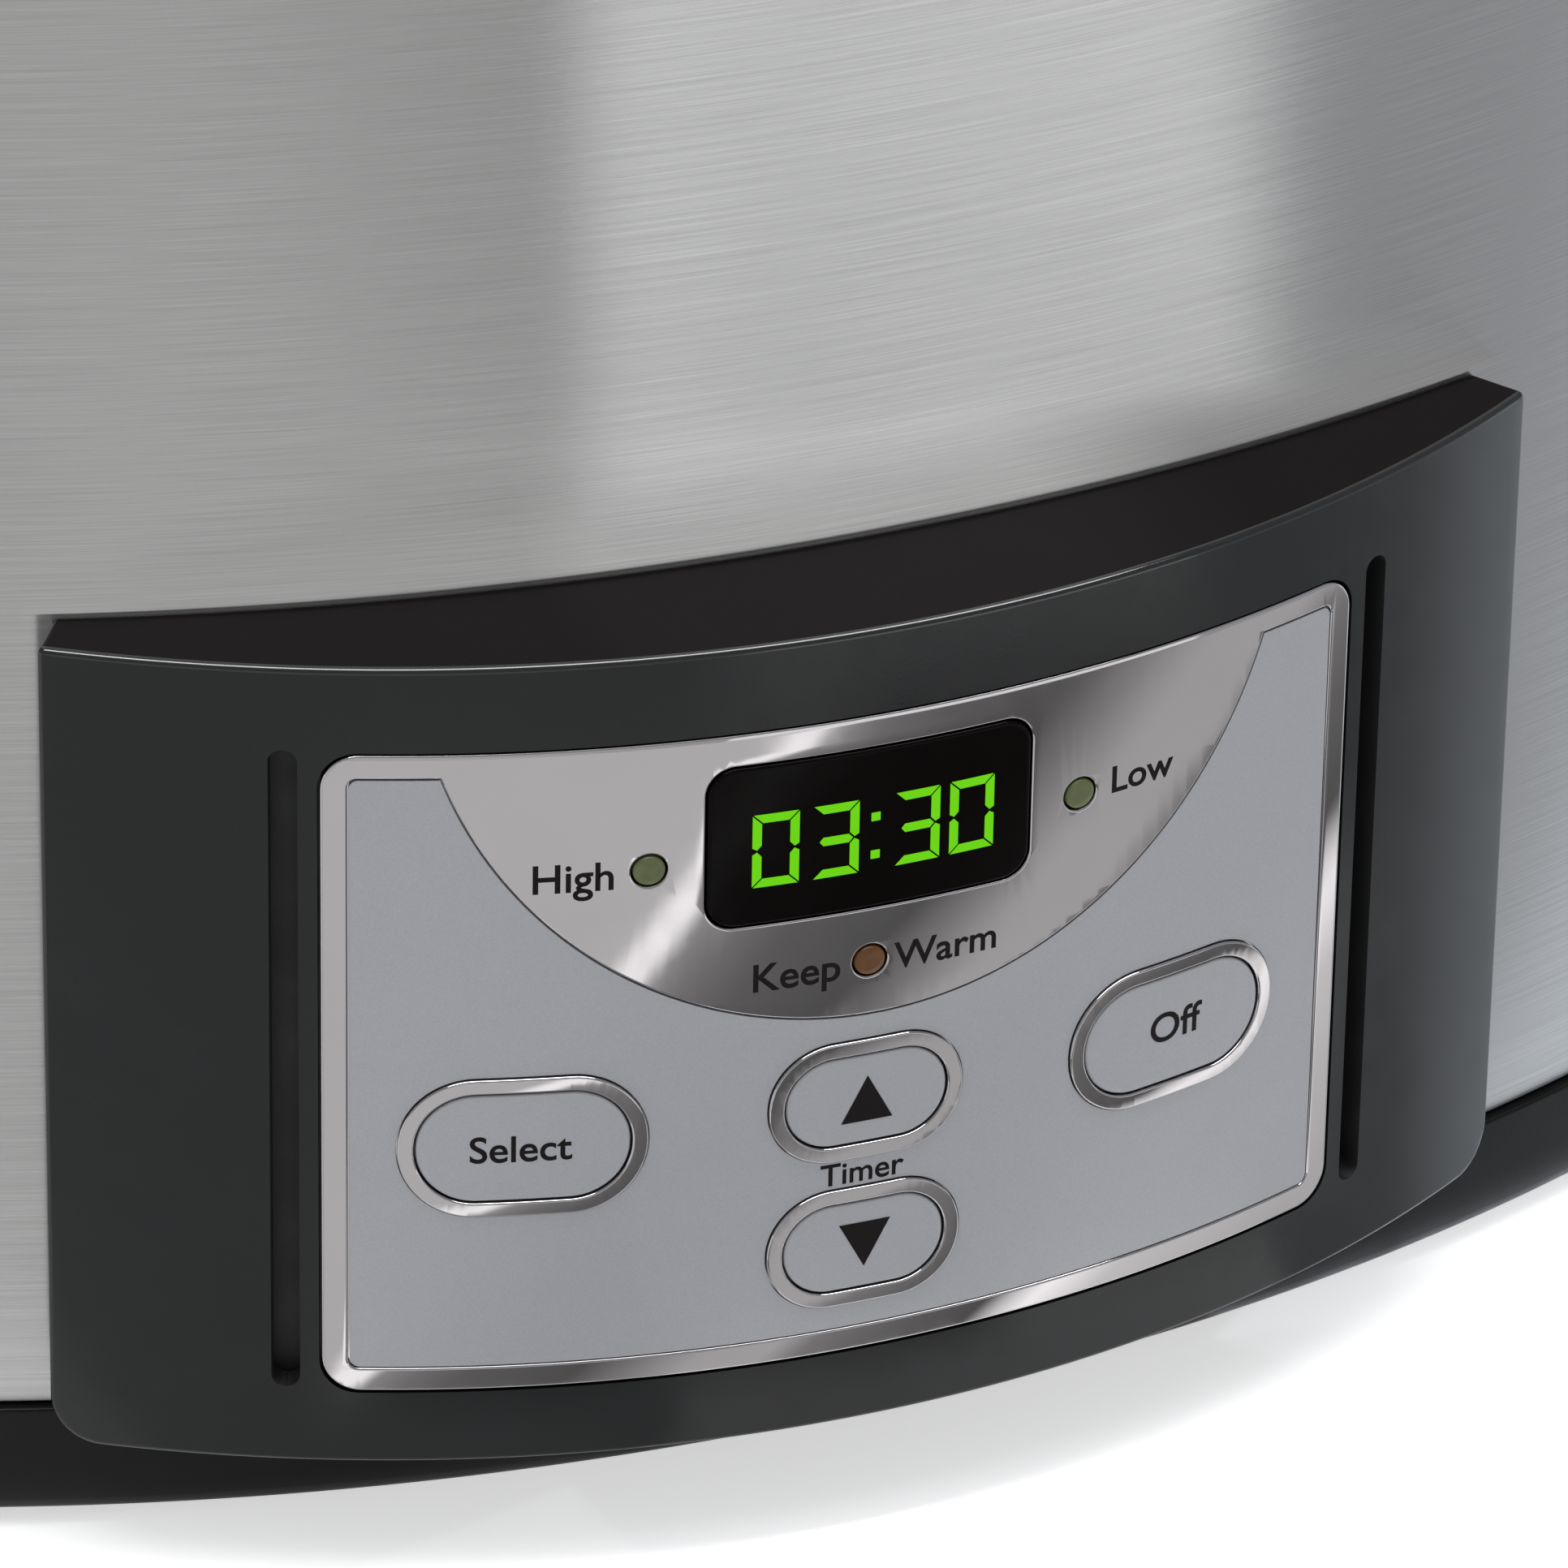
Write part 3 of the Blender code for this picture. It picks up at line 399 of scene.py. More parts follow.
def panel_frame(along, up):
    """The matrix that puts a piece made about its own Z axis square onto the panel there."""
    turn = Matrix.Rotation(along / PANEL_RADIUS, 4, "Z") @ Matrix.Rotation(math.pi / 2, 4, "X")
    return Matrix.Translation(on_panel(along, up)) @ turn


def turned_at(matrix, profile_mm, steps=48, angle=35.0):
    """A small round piece, turned about its own axis and then put in place."""
    mesh = lathe(profile_mm, steps, 1.0, (0, 0, 0), angle)
    mesh.transform(matrix)
    return shaded(mesh, angle)


def rod(matrix, radius_mm, high, low, steps=32):
    return turned_at(matrix, [(0.0, high), (radius_mm, high), (radius_mm, low), (0.0, low)], steps)


def at(x, y=0.0, z=0.0):
    """A place measured from the cooker's own middle."""
    return Matrix.Translation((x, BODY_Y + y, z))


def shaded(mesh, angle=35.0):
    set_normals(mesh, weighted_normals(mesh, angle))
    return mesh


# ---- Materials ----
class Finish:
    """A Principled material and the few nodes that give it grain."""

    def __init__(self, name, colour, roughness, metallic=0.0, **sockets):
        self.material = bpy.data.materials.new(name)
        self.material.use_nodes = True
        self.tree = self.material.node_tree
        self.shader = self.tree.nodes["Principled BSDF"]
        self.colour = colour
        self.set("Base Color", (*colour, 1.0))
        self.set("Roughness", roughness)
        self.set("Metallic", metallic)
        for key, value in sockets.items():
            self.set(key.replace("_", " ").title().replace("Ior", "IOR"), value)
        self.place = self.tree.nodes.new("ShaderNodeTexCoord").outputs["Object"]

    def set(self, socket, value):
        self.shader.inputs[socket].default_value = value

    def link(self, start, end):
        self.tree.links.new(start, end)

    def noise(self, scale, detail=3.0, rough=0.55, stretch=(1, 1, 1), uv=False):
        """A noise pattern, with scale in features per metre."""
        place = self.place
        if uv:
            node = self.tree.nodes.new("ShaderNodeUVMap")
            node.uv_map = "UVMap"
            place = node.outputs["UV"]
        mapping = self.tree.nodes.new("ShaderNodeMapping")
        mapping.inputs["Scale"].default_value = stretch
        self.link(place, mapping.inputs["Vector"])
        noise = self.tree.nodes.new("ShaderNodeTexNoise")
        noise.inputs["Scale"].default_value = scale
        noise.inputs["Detail"].default_value = detail
        noise.inputs["Roughness"].default_value = rough
        self.link(mapping.outputs["Vector"], noise.inputs["Vector"])
        return noise.outputs["Fac"]

    def between(self, pattern, low, high, start=0.3, end=0.7):
        node = self.tree.nodes.new("ShaderNodeMapRange")
        for socket, value in (("From Min", start), ("From Max", end), ("To Min", low), ("To Max", high)):
            node.inputs[socket].default_value = value
        self.link(pattern, node.inputs["Value"])
        return node.outputs["Result"]

    def vary_colour(self, pattern, dark=0.85, light=1.15, tint=(1, 1, 1)):
        mix = self.tree.nodes.new("ShaderNodeMix")
        mix.data_type = "RGBA"
        mix.inputs["A"].default_value = (*(c * dark for c in self.colour), 1.0)
        mix.inputs["B"].default_value = (*(c * light * t for c, t in zip(self.colour, tint)), 1.0)
        self.link(self.between(pattern, 0.0, 1.0), mix.inputs["Factor"])
        self.link(mix.outputs["Result"], self.shader.inputs["Base Color"])
        return self

    def vary_roughness(self, pattern, low, high):
        self.link(self.between(pattern, low, high), self.shader.inputs["Roughness"])
        return self

    def relief(self, pattern, depth, strength=1.0):
        """Raises the surface by up to this depth, in metres, where the pattern is light."""
        bump = self.tree.nodes.new("ShaderNodeBump")
        bump.inputs["Distance"].default_value = depth
        bump.inputs["Strength"].default_value = strength
        self.link(pattern, bump.inputs["Height"])
        last = self.shader.inputs["Normal"].links
        if last:
            self.link(last[0].from_socket, bump.inputs["Normal"])
        self.link(bump.outputs["Normal"], self.shader.inputs["Normal"])
        return self


def textured(name, colour, roughness, metallic=0.0, tone=None, gloss=None, grain=None, **sockets):
    """A finish varied by noise: tone ends in its dark and light, gloss in its range, grain in its depth."""
    finish = Finish(name, colour, roughness, metallic, **sockets)
    if tone:
        finish.vary_colour(finish.noise(*tone[:-2]), *tone[-2:])
    if gloss:
        finish.vary_roughness(finish.noise(*gloss[:-2]), *gloss[-2:])
    if grain:
        finish.relief(finish.noise(*grain[:-1]), grain[-1])
    return finish.material


def moulded(name, colour, roughness, grain=2200.0, depth=0.000012, **sockets):
    """Moulded plastic: a fine spark-eroded grain, slightly uneven gloss and colour."""
    return textured(name, colour, roughness, 0.0, (38.0, 4.0, 0.90, 1.12),
                    (210.0, 4.0, roughness - 0.05, roughness + 0.06), (grain, 2.0, depth), **sockets)


def plated(name, colour, roughness):
    return textured(name, colour, roughness, 1.0, (90.0, 5.0, 0.86, 1.10),
                    (420.0, 4.0, roughness - 0.06, roughness + 0.08), (900.0, 3.0, 0.000008))


def lacquered(name):
    return textured(name, (0.290, 0.296, 0.315), 0.44, 0.25, (5200.0, 2.0, 0.95, 1.05),
                    (160.0, 4.0, 0.40, 0.48), (3600.0, 2.0, 0.000004), coat_weight=0.15, coat_roughness=0.35)


def lens(name, colour):
    return textured(name, colour, 0.34, 0.0, (900.0, 2.0, 0.88, 1.12), None, (2500.0, 2.0, 0.00001),
                    subsurface_weight=0.2, subsurface_radius=(0.001, 0.001, 0.001), specular_ior_level=0.2)


def brushed_steel():
    """Steel brushed along the wall: long scratches that follow the wall's UV map."""
    finish = Finish("brushed_steel", (0.385, 0.385, 0.381), 0.22, 1.0,
                    anisotropic=1.0, anisotropic_rotation=0.25)
    fine = finish.noise(1.0, 5.0, 0.65, (60.0, 9000.0, 1.0), True)
    broad = finish.noise(1.0, 3.0, 0.55, (12.0, 1500.0, 1.0), True)
    finish.vary_colour(fine, 0.86, 1.12)
    finish.vary_roughness(broad, 0.20, 0.25)
    finish.relief(fine, 0.000004)
    tangent = finish.tree.nodes.new("ShaderNodeTangent")
    tangent.direction_type = "UV_MAP"
    tangent.uv_map = "UVMap"
    finish.link(tangent.outputs["Tangent"], finish.shader.inputs["Tangent"])
    return finish.material


def black_glaze():
    """Glazed stoneware: warm flecks in a deep glaze that lies a little unevenly."""
    finish = Finish("black_glaze", (0.013, 0.012, 0.012), 0.14, coat_weight=0.5, coat_roughness=0.06)
    finish.vary_colour(finish.noise(420.0, 6.0, 0.8), 0.6, 1.9, (1.0, 0.95, 0.9))
    finish.vary_roughness(finish.noise(60.0, 4.0), 0.09, 0.20)
    finish.relief(finish.noise(75.0, 3.0), 0.00006)
    return finish.material


PANEL_COLOUR = (0.0055, 0.0063, 0.0068)
BLACK = moulded("black_plastic", (0.0060, 0.0060, 0.0062), 0.36, specular_ior_level=0.10)
CHARCOAL = moulded("charcoal_plastic", PANEL_COLOUR, 0.22, 3000.0, 0.000003, specular_ior_level=0.28)
SHELF = moulded("shelf_gloss", (0.0045, 0.0032, 0.0030), 0.30, 1200.0, 0.000004, specular_ior_level=0.03)
EDGE = moulded("charcoal_edge", PANEL_COLOUR, 0.10, 3000.0, 0.000001, specular_ior_level=0.6)
# Near-black for the slots' inner walls and the sheets behind them: painted shade where the slots fall into
# shadow.
SLOT_PAINTED_SHADE = moulded("slot_shadow", (0.004, 0.004, 0.004), 0.6)
STEEL = brushed_steel()
CHROME = textured("polished_trim", (0.40, 0.385, 0.393), 0.05, 1.0, (24.0, 3.0, 0.96, 1.04),
                  (300.0, 5.0, 0.03, 0.08), (90.0, 1.0, 0.0000006))
SILVER = lacquered("silver_lacquer")
SILVER_BUTTON = lacquered("silver_button")
ZINC = plated("zinc_plate", (0.52, 0.53, 0.55), 0.30)
GALVANISED = plated("galvanised_sheet", (0.46, 0.48, 0.50), 0.42)
ALUMINIUM = plated("pressed_aluminium", (0.66, 0.66, 0.67), 0.34)
WINDOW_BLACK = moulded("window_acrylic", (0.0028, 0.0022, 0.0020), 0.10, 300.0, 0.0, specular_ior_level=0.04)
INK = moulded("label_ink", (0.0085, 0.0065, 0.0065), 0.5, specular_ior_level=0.06)
GREEN = lens("lamp_green", (0.093, 0.108, 0.046))
AMBER = lens("lamp_amber", (0.100, 0.042, 0.013))
LIT = textured("display_light", (0.01, 0.03, 0.0), 0.5, 0.0, (900.0, 2.0, 0.8, 1.2), specular_ior_level=0.1,
               emission_color=(0.215, 1.0, 0.0, 1.0), emission_strength=0.62)
GLAZE = black_glaze()
GLASS = textured("lid_glass_clear", (0.93, 0.975, 0.955), 0.02, gloss=(25.0, 3.0, 0.0, 0.03),
                 transmission_weight=1.0, ior=1.50)
RUBBER = textured("rubber", (0.018, 0.018, 0.018), 0.72, 0.0, (150.0, 5.0, 0.75, 1.3),
                  (500.0, 3.0, 0.64, 0.80), (1800.0, 3.0, 0.00003))
COMPONENT = moulded("component_case", (0.018, 0.018, 0.019), 0.45)
MICA = moulded("mica_sheet", (0.42, 0.33, 0.21), 0.5)
BLANKET = textured("glass_wool", (0.72, 0.69, 0.60), 0.95, 0.0, (160.0, 8.0, 0.75, 0.75, 1.12),
                   (300.0, 3.0, 0.88, 0.98), (700.0, 6.0, 0.55, (1, 1, 3), 0.0006))
BOARD = textured("circuit_board", (0.012, 0.12, 0.045), 0.38, 0.0, (260.0, 1.0, 0.55, (4, 1, 1), 0.7, 1.5),
                 (500.0, 3.0, 0.3, 0.45), (260.0, 1.0, 0.55, (4, 1, 1), 0.00003))


# ---- The base and its wall ----
def make_wall():
    """The steel wall, and the thin lap where its sheet is joined at the back."""
    top, seam = STEEL_TOP * 1000, SEAM_Z * 1000 + 0.3
    wall = lathe([(180.0, top, 0.5), (180.0, seam), (179.2, seam), (179.2, top - 0.8),
                  (176.0, top - 0.8), (176.0, top)], 384)
    add("wall_brushed_steel", wall, STEEL, "base", ["steel_wrap"])
    points, faces = [], []
    for k in range(13):
        turn = math.radians(72.0 + 2.2 * k / 12)
        for radius in (BODY_RADIUS + 0.00002, BODY_RADIUS + 0.00045):
            for height in (SEAM_Z + 0.0008, 0.1690):
                points.append((radius * math.cos(turn), BODY_Y + radius * OVAL * math.sin(turn), height))
    for a in range(0, 48, 4):
        b = a + 4
        faces += [(a + 2, b + 2, b + 3, a + 3), (b, a, a + 1, b + 1),
                  (a, b, b + 2, a + 2), (a + 1, a + 3, b + 3, b + 1)]
    faces += [(0, 2, 3, 1), (48, 49, 51, 50)]
    mesh = mesh_of(points, faces)
    tidy(mesh)
    layer = mesh.uv_layers.new(name="UVMap")
    for corner, loop in zip(layer.data, mesh.loops):
        x, y, z = mesh.vertices[loop.vertex_index].co
        corner.uv = (math.atan2(y, x) * 0.16, z)
    add("wall_lap_seam", shaded(mesh), STEEL, "base")


def make_base():
    skirt = lathe([(178.8, 25.0), (178.8, 12.8), (181.2, 12.8, 0.4), (181.2, 4.6, 2.4), (179.6, 1.4, 1.6),
                   (177.2, 1.4, 0.3), (176.0, 3.0, 0.4), (120.0, 3.0, 0.6), (120.0, 5.0),
                   (176.6, 5.0), (176.6, 25.0)], 384)
    add("base_skirt", skirt, BLACK, "base", ["base_pan"])
    for row, y in (("front", -0.075), ("rear", 0.075)):
        for side, x in (("left", -0.115), ("right", 0.115)):
            foot = turned_at(at(x, y), [
                (0.0, 6.6), (2.2, 6.6, 0.6), (4.0, 5.3, 0.3), (2.8, 5.3), (2.8, 2.7), (8.5, 2.7, 0.3),
                (7.5, 0.0, 0.5), (5.4, 0.0, 0.2), (5.0, 0.5, 0.2), (0.0, 0.5)])
            name = f"foot_{row}_{side}"
            add(f"rubber_{name}", foot, RUBBER, "base", [name])
    for k in range(4):
        turn = math.radians(45 + 90 * k)
        spot = at(0.150 * math.cos(turn), 0.150 * OVAL * math.sin(turn))
        screw = turned_at(spot @ Matrix.Rotation(math.pi, 4, "X"), [
            (0.0, -1.35), (0.8, -1.35, 0.1), (1.0, -0.9), (3.4, -0.9, 0.6), (3.6, -2.8), (0.0, -2.8)], 32)
        add(f"base_screw_{k + 1}", screw, ZINC, "base")


def make_gland():
    face = BODY_RADIUS * OVAL * 1000 + 0.6
    turn = at(0.0, 0.0, GLAND_Z) @ Matrix.Rotation(-math.pi / 2, 4, "X")
    gland = turned_at(turn, [
        (8.6, face + 2.5, 0.6), (9.5, face + 1.6, 0.5), (9.5, face), (5.0, face), (5.0, face - 1.6),
        (7.0, face - 1.6), (7.0, face - 5.0), (3.2, face - 5.0), (3.2, face + 0.9, 0.3),
        (4.2, face + 2.5, 0.5)])
    add("cord_gland_ring", gland, BLACK, "base", ["cord_gland"])


def make_collar():
    collar = lathe([(181.4, 180.0, 0.4), (182.2, 179.1, 0.4), (182.2, 170.0, 0.5), (180.5, 170.0),
                    (180.5, 178.4), (168.0, 178.4), (168.0, 180.0, 0.4)], 320)
    add("collar_ring", collar, BLACK, "base", ["rim_collar"])


def make_well():
    def outside(height):
        """The radius of the well's tapered side, in mm."""
        return 158.5 + (height - 45.0) * 9.5 / 132.0
    top, low = outside(177.3), outside(45.0)
    well = lathe([(178.6, 178.1), (178.6, 177.3), (top, 177.3, 1.2), (low, 45.0, 6.0), (154.0, 33.0, 3.0),
                  (148.0, 28.0, 4.0), (4.5, 28.0), (4.5, 29.0), (147.6, 29.0, 4.0), (153.3, 33.8, 3.0),
                  (low - 1.0, 45.0, 6.0), (top - 1.0, 178.1, 1.2)], 256)
    well = shaded(cut(well, [rod(at(0.060), 10.5, 34.0, 20.0, 48)]))
    add("heating_well_liner", well, GALVANISED, "base", ["heating_well"])


# ---- The control panel ----
def solid_oval(radius_mm, high, low, steps=384):
    return lathe([(0.0, high), (radius_mm, high), (radius_mm, low), (0.0, low)], steps)


def housing_finish(middle, upward):
    """Which of the housing's finishes a face has: 1 the shelf, 2 inside a slot, darkened there as painted
    shade, 3 the rounded edge.
    """
    depth = math.hypot(middle.x, middle.y - BODY_Y - PANEL_RADIUS + PANEL_FRONT) - PANEL_RADIUS
    if middle.z > PANEL_TOP - 0.0002 and upward > 0.9 and depth < -0.0011:
        return 1
    if middle.z > PANEL_TOP - 0.0006 and 0.15 < upward < 0.99 and depth > -0.0006:
        return 3
    beside_slot = abs(abs(middle.x) - 0.0500) < 0.0030 and PLATE_BOTTOM - 0.001 < middle.z < PLATE_TOP + 0.002
    if beside_slot and upward ** 2 < 0.999 and -0.0026 < depth < -0.00001:
        return 2
    return 0


def make_housing():
    """The curved housing, cut to sit on the wall, hollow behind, with a recess for the plate."""
    middle_z = (PANEL_BOTTOM + PANEL_TOP) / 2
    wide, tall = 2 * PANEL_HALF, PANEL_TOP - PANEL_BOTTOM
    block = sheet([rounded(0, middle_z, wide, tall, 0.0045, 10, 0.0007)], -0.034, 0.0, edge=0.00055)
    inner = rounded(0, middle_z, wide - 2 * PANEL_WALL, tall - 2 * PANEL_WALL, 0.0025)
    plate_wide, plate_tall = 2 * PLATE_HALF, PLATE_TOP - PLATE_BOTTOM
    recess = rounded(0, PLATE_Z, plate_wide + 0.0004, plate_tall + 0.0004, PLATE_CORNER)
    opening = rounded(0, PLATE_Z, plate_wide - 0.0032, plate_tall - 0.0016, 0.002)
    cuts = [
        solid_oval(180.3, 120.0, SEAM_Z * 1000 + 0.3),
        solid_oval(181.5, SEAM_Z * 1000 + 0.3001, -10.0),
        bent(sheet([inner], -0.038, -PANEL_WALL), 0.002),
        bent(sheet([recess], -0.0015, 0.004), 0.002),
        bent(sheet([opening], -0.006, 0.002), 0.002),
    ]
    for side in (-1, 1):
        slot = rounded(side * SLOT_ALONG, SLOT_Z, SLOT_WIDTH, SLOT_TOP - SLOT_BOTTOM, SLOT_WIDTH * 0.49)
        cuts.append(bent(sheet([slot], -0.0035, 0.002), 0.002))
    housing = cut(bent(block, 0.002), cuts)
    tidy(housing, 1e-6)
    for face in housing.polygons:
        face.material_index = housing_finish(face.center, face.normal.z)
    add("panel_housing", shaded(housing), [CHARCOAL, SHELF, SLOT_PAINTED_SHADE, EDGE], "base", ["control_housing"])
    # Dark sheets behind the two slots: painted shade for the hollow that shows through them.
    for side, name in SIDES:
        floor = rounded(side * SLOT_ALONG, SLOT_Z, SLOT_WIDTH + 0.0012,
                        SLOT_TOP - SLOT_BOTTOM + 0.0012, 0.0018)
        add(f"slot_painted_shade_sheet_{name}", bent(sheet([floor], -0.0036, -0.0026)), SLOT_PAINTED_SHADE, "base")


def field_outline(shrink=0.0, steps=96):
    """The matt field of the plate, with the polished half disc bitten out of its top."""
    corner = 0.0009
    side = PLATE_HALF - PLATE_BORDER - shrink - corner
    low = PLATE_BOTTOM + PLATE_BORDER + shrink + corner
    top = PLATE_TOP - PLATE_BORDER - shrink
    radius = DISC_RADIUS + shrink
    start = math.asin((DISC_CENTRE_Z - top) / radius)
    points = quarter_turn(side, top - corner, corner, 0)
    for i in range(steps + 1):
        turn = -start - (math.pi - 2 * start) * i / steps
        points.append((radius * math.cos(turn), DISC_CENTRE_Z + radius * math.sin(turn)))
    points += quarter_turn(-side, top - corner, corner, 1)
    points += quarter_turn(-side, low, corner, 2)
    return points + quarter_turn(side, low, corner, 3)


def button_outline(key, grow):
    along, up, width, height = BUTTONS[key]
    return stadium(along, up, width, height, grow)


def make_plate():
    """The polished plate in two layers, and the matt silver field let into it."""
    outer = rounded(0, PLATE_Z, 2 * PLATE_HALF, PLATE_TOP - PLATE_BOTTOM, PLATE_CORNER, 14)
    along, up, width, height, corner = WINDOW
    window = rounded(along, up, width + 0.0003, height + 0.0003, corner, 12)
    lamps = [circle(*spot, LAMP_RADIUS + 0.00012) for spot in LAMPS.values()]
    keys = [button_outline(key, -RING_WIDTH + 0.0002) for key in BUTTONS]
    backing = bent(sheet([outer, window, *lamps, *keys], -0.0012, -0.00045))
    add("trim_plate", backing, CHROME, "base", ["faceplate"])
    face = bent(sheet([outer, field_outline(), window, *lamps], -0.00044, 0.0, edge=0.00022))
    add("trim_face", face, CHROME, "base", [])
    rings = [button_outline(key, 0.00010) for key in BUTTONS]
    field = bent(sheet([field_outline(0.00012), *rings], -0.00042, -0.00006, edge=0.00005, steps=2))
    add("plate_field", field, SILVER, "base", ["overlay_sheet"])


def make_buttons():
    for key in BUTTONS:
        ring = sheet([button_outline(key, 0.0), button_outline(key, -RING_WIDTH)], -0.0004, 0.00022,
                     edge=0.00018)
        add(f"{key}_bezel", bent(ring), CHROME, "base", [f"{key}_ring"])
        pad = sheet([button_outline(key, -RING_WIDTH - 0.00016)], -0.0020, 0.00010, edge=0.00022)
        flange = sheet([button_outline(key, -RING_WIDTH + 0.0006)], -0.0026, -0.0016)
        add(f"{key}_pad", bent(pad), SILVER_BUTTON, f"{key}_key", [f"{key}_button"])
        add(f"{key}_pad_flange", bent(flange), SILVER_BUTTON, f"{key}_key")
    for key, sign in (("timer_up", 1), ("timer_down", -1)):
        along, up = BUTTONS[key][:2]
        half, rise = 0.00235, 0.00225
        foot, tip = up - sign * rise, up + sign * rise
        arrow = [(along - half, foot), (along + half, foot), (along, tip)]
        arrow = arrow if sign > 0 else arrow[::-1]
        add(f"{key}_arrow", bent(sheet([arrow], 0.00006, 0.00014)), INK, f"{key}_key")


def make_window():
    along, up, width, height, corner = WINDOW
    pane = bent(sheet([rounded(along, up, width, height, corner, 14)], -0.0016, 0.00008, edge=0.0003))
    add("display_pane", pane, WINDOW_BLACK, "base", ["display_window"])
    for key, (spot, rise) in LAMPS.items():
        dome = turned_at(panel_frame(spot, rise), [
            (0.0, 0.36), (0.75, 0.27, 0.2), (1.28, 0.08, 0.15), (1.42, -0.15), (1.42, -2.4), (0.0, -2.4)], 48)
        finish, slot = (AMBER, "lamp_amber") if key == "warm" else (GREEN, "lamp_green")
        add(f"{key}_lens", dome, finish, "base", [f"{key}_lamp"])


def segment_shapes(left, low, width, height, stroke, gap, lit):
    """The lit bars of a seven-bar numeral: a to g, starting at the top and going clockwise."""
    w, h, t, g = width, height, stroke, gap
    middle = h / 2
    bars = {
        "a": [(g, h), (t + g, h - t), (w - t - g, h - t), (w - g, h)],
        "b": [(w, h - g), (w - t, h - t - g), (w - t, middle + t * 0.55 + g), (w - t * 0.5, middle + g),
              (w, middle + t * 0.3 + g)],
        "g": [(t * 0.75, middle), (t * 1.15, middle - t / 2), (w - t - g, middle - t / 2),
              (w - t * 0.55 - g, middle), (w - t - g, middle + t / 2), (t * 1.15, middle + t / 2)],
    }
    for name, other in (("d", "a"), ("c", "b")):
        bars[name] = [(x, h - y) for x, y in bars[other]]
    for name, other in (("f", "b"), ("e", "c")):
        bars[name] = [(w - x, y) for x, y in bars[other]]
    shapes = []
    for name in lit:
        outline = [(left + x, low + y) for x, y in bars[name]]
        area = sum(outline[i - 1][0] * y - x * outline[i - 1][1] for i, (x, y) in enumerate(outline))
        shapes.append(outline if area > 0 else outline[::-1])
    return shapes


def joined(meshes):
    form = bmesh.new()
    for mesh in meshes:
        form.from_mesh(mesh)
    result = bpy.data.meshes.new("joined")
    form.to_mesh(result)
    form.free()
    return result


def make_digits():
    zero, three = "abcdef", "abcdg"
    low, height, width = 0.06795, 0.0071, 0.00415
    shapes = []
    for left, lit in ((-0.01150, zero), (-0.00615, three), (0.00125, three), (0.00632, zero)):
        shapes += segment_shapes(left, low, width, height, 0.00082, 0.00010, lit)
    for rise in (0.0017, 0.0054):
        shapes.append(rounded(-0.00050, low + rise - 0.0002, 0.00082, 0.00082, 0.00004, 2))
    mesh = joined([sheet([shape], 0.00009, 0.00012) for shape in shapes])
    add("display_digits", bent(mesh), LIT, "base")


def label(name, words, left, right, middle_z, body, depth, weight=0.012):
    """A printed word between two places along the panel, its capitals centred on a height."""
    curve = bpy.data.curves.new(name, "FONT")
    curve.body = words
    curve.size = 1.0
    curve.offset = weight
    curve.resolution_u = 6
    curve.fill_mode = "BOTH"
    curve.extrude = 0.01
    mesh = mesh_from_curve(curve, 1e-5)
    points = np.array([vertex.co for vertex in mesh.vertices])
    low, high = points.min(0), points.max(0)
    scale = (right - left) / (high[0] - low[0])
    capital = 0.70 * scale
    for vertex in mesh.vertices:
        x, y, z = vertex.co
        vertex.co = (left + (x - low[0]) * scale, middle_z + y * scale - capital / 2,
                     depth if z < 0 else depth + 0.00003)
    mesh.update()
    add(name, bent(mesh, 0.001), INK, body)


def make_labels():
    label("word_high", "High", -0.03035, -0.02345, 0.0706, "base", 0.0)
    label("word_low", "Low", 0.0222, 0.0285, 0.0712, "base", 0.0)
    label("word_keep", "Keep", -0.0112, -0.0034, 0.0589, "base", 0.0)
    label("word_warm", "Warm", 0.0015, 0.0111, 0.0589, "base", 0.0)
    label("word_timer", "Timer", -0.0048, 0.0029, 0.0379, "base", -0.00007)
    label("word_select", "Select", -0.0356, -0.0268, 0.0441, "select_key", 0.00009)
    label("word_off", "Off", 0.0271, 0.0326, 0.0445, "off_key", 0.00009)


# ---- Handles and latches ----
def make_handle(side, name):
    """A grip with a finger hole and two latch lugs, on a flange that fits the wall."""
    reach, base = 0.222, 0.150
    outer = rounded(side * (reach + base) / 2, 0.0, reach - base, 0.084, 0.014, 12)
    finger = rounded(side * 0.1985, 0.0, 0.018, 0.056, 0.008, 12)
    grip = sheet([outer, finger], 0.138, 0.156, edge=0.0032, under=0.0032, steps=5)
    flange = lathe([(184.0, 164.0, 0.8), (184.0, 130.0, 0.8), (176.0, 130.0), (176.0, 164.0)], 384,
                   centre=(0, 0, 0))
    upright = Matrix(((0, 0, 1, 0), (0, 1, 0, 0), (-1, 0, 0, 0), (0, 0, 0, 1)))
    keep = sheet([rounded(0.147, 0.0, 0.034, 0.100, 0.006, 8)], -0.040, 0.040)
    keep.transform(Matrix.Translation((side * BODY_RADIUS, 0, 0)) @ upright
                   @ Matrix.Translation((-0.294, 0, 0)))
    parts = [("UNION", boolean(flange, [("INTERSECT", keep)]))]
    sideways = Matrix.Rotation(math.pi / 2, 4, "X")
    for end in (-1, 1):
        lug = sheet([rounded(side * 0.1848, 0.1583, 0.0140, 0.0170, 0.004, 8, 0.005)], -0.003, 0.003,
                    edge=0.0008, under=0.0008)
        lug.transform(Matrix.Translation((0, end * 0.0255, 0)) @ sideways)
        parts.append(("UNION", lug))
    wall = solid_oval(180.3, 200.0, 100.0)
    wall.transform(Matrix.Translation((0, -BODY_Y, 0)))
    bore = rod(Matrix.Translation((side * PIVOT_X, 0, PIVOT_Z)) @ sideways, 1.8, 40.0, -40.0)
    mesh = boolean(grip, [*parts, ("DIFFERENCE", wall), ("DIFFERENCE", bore)])
    mesh.transform(Matrix.Translation((0, BODY_Y, 0)))
    tidy(mesh, 2e-6)
    add(f"handle_grip_{name}", shaded(mesh, 30), BLACK, "base", [f"handle_{name}"])


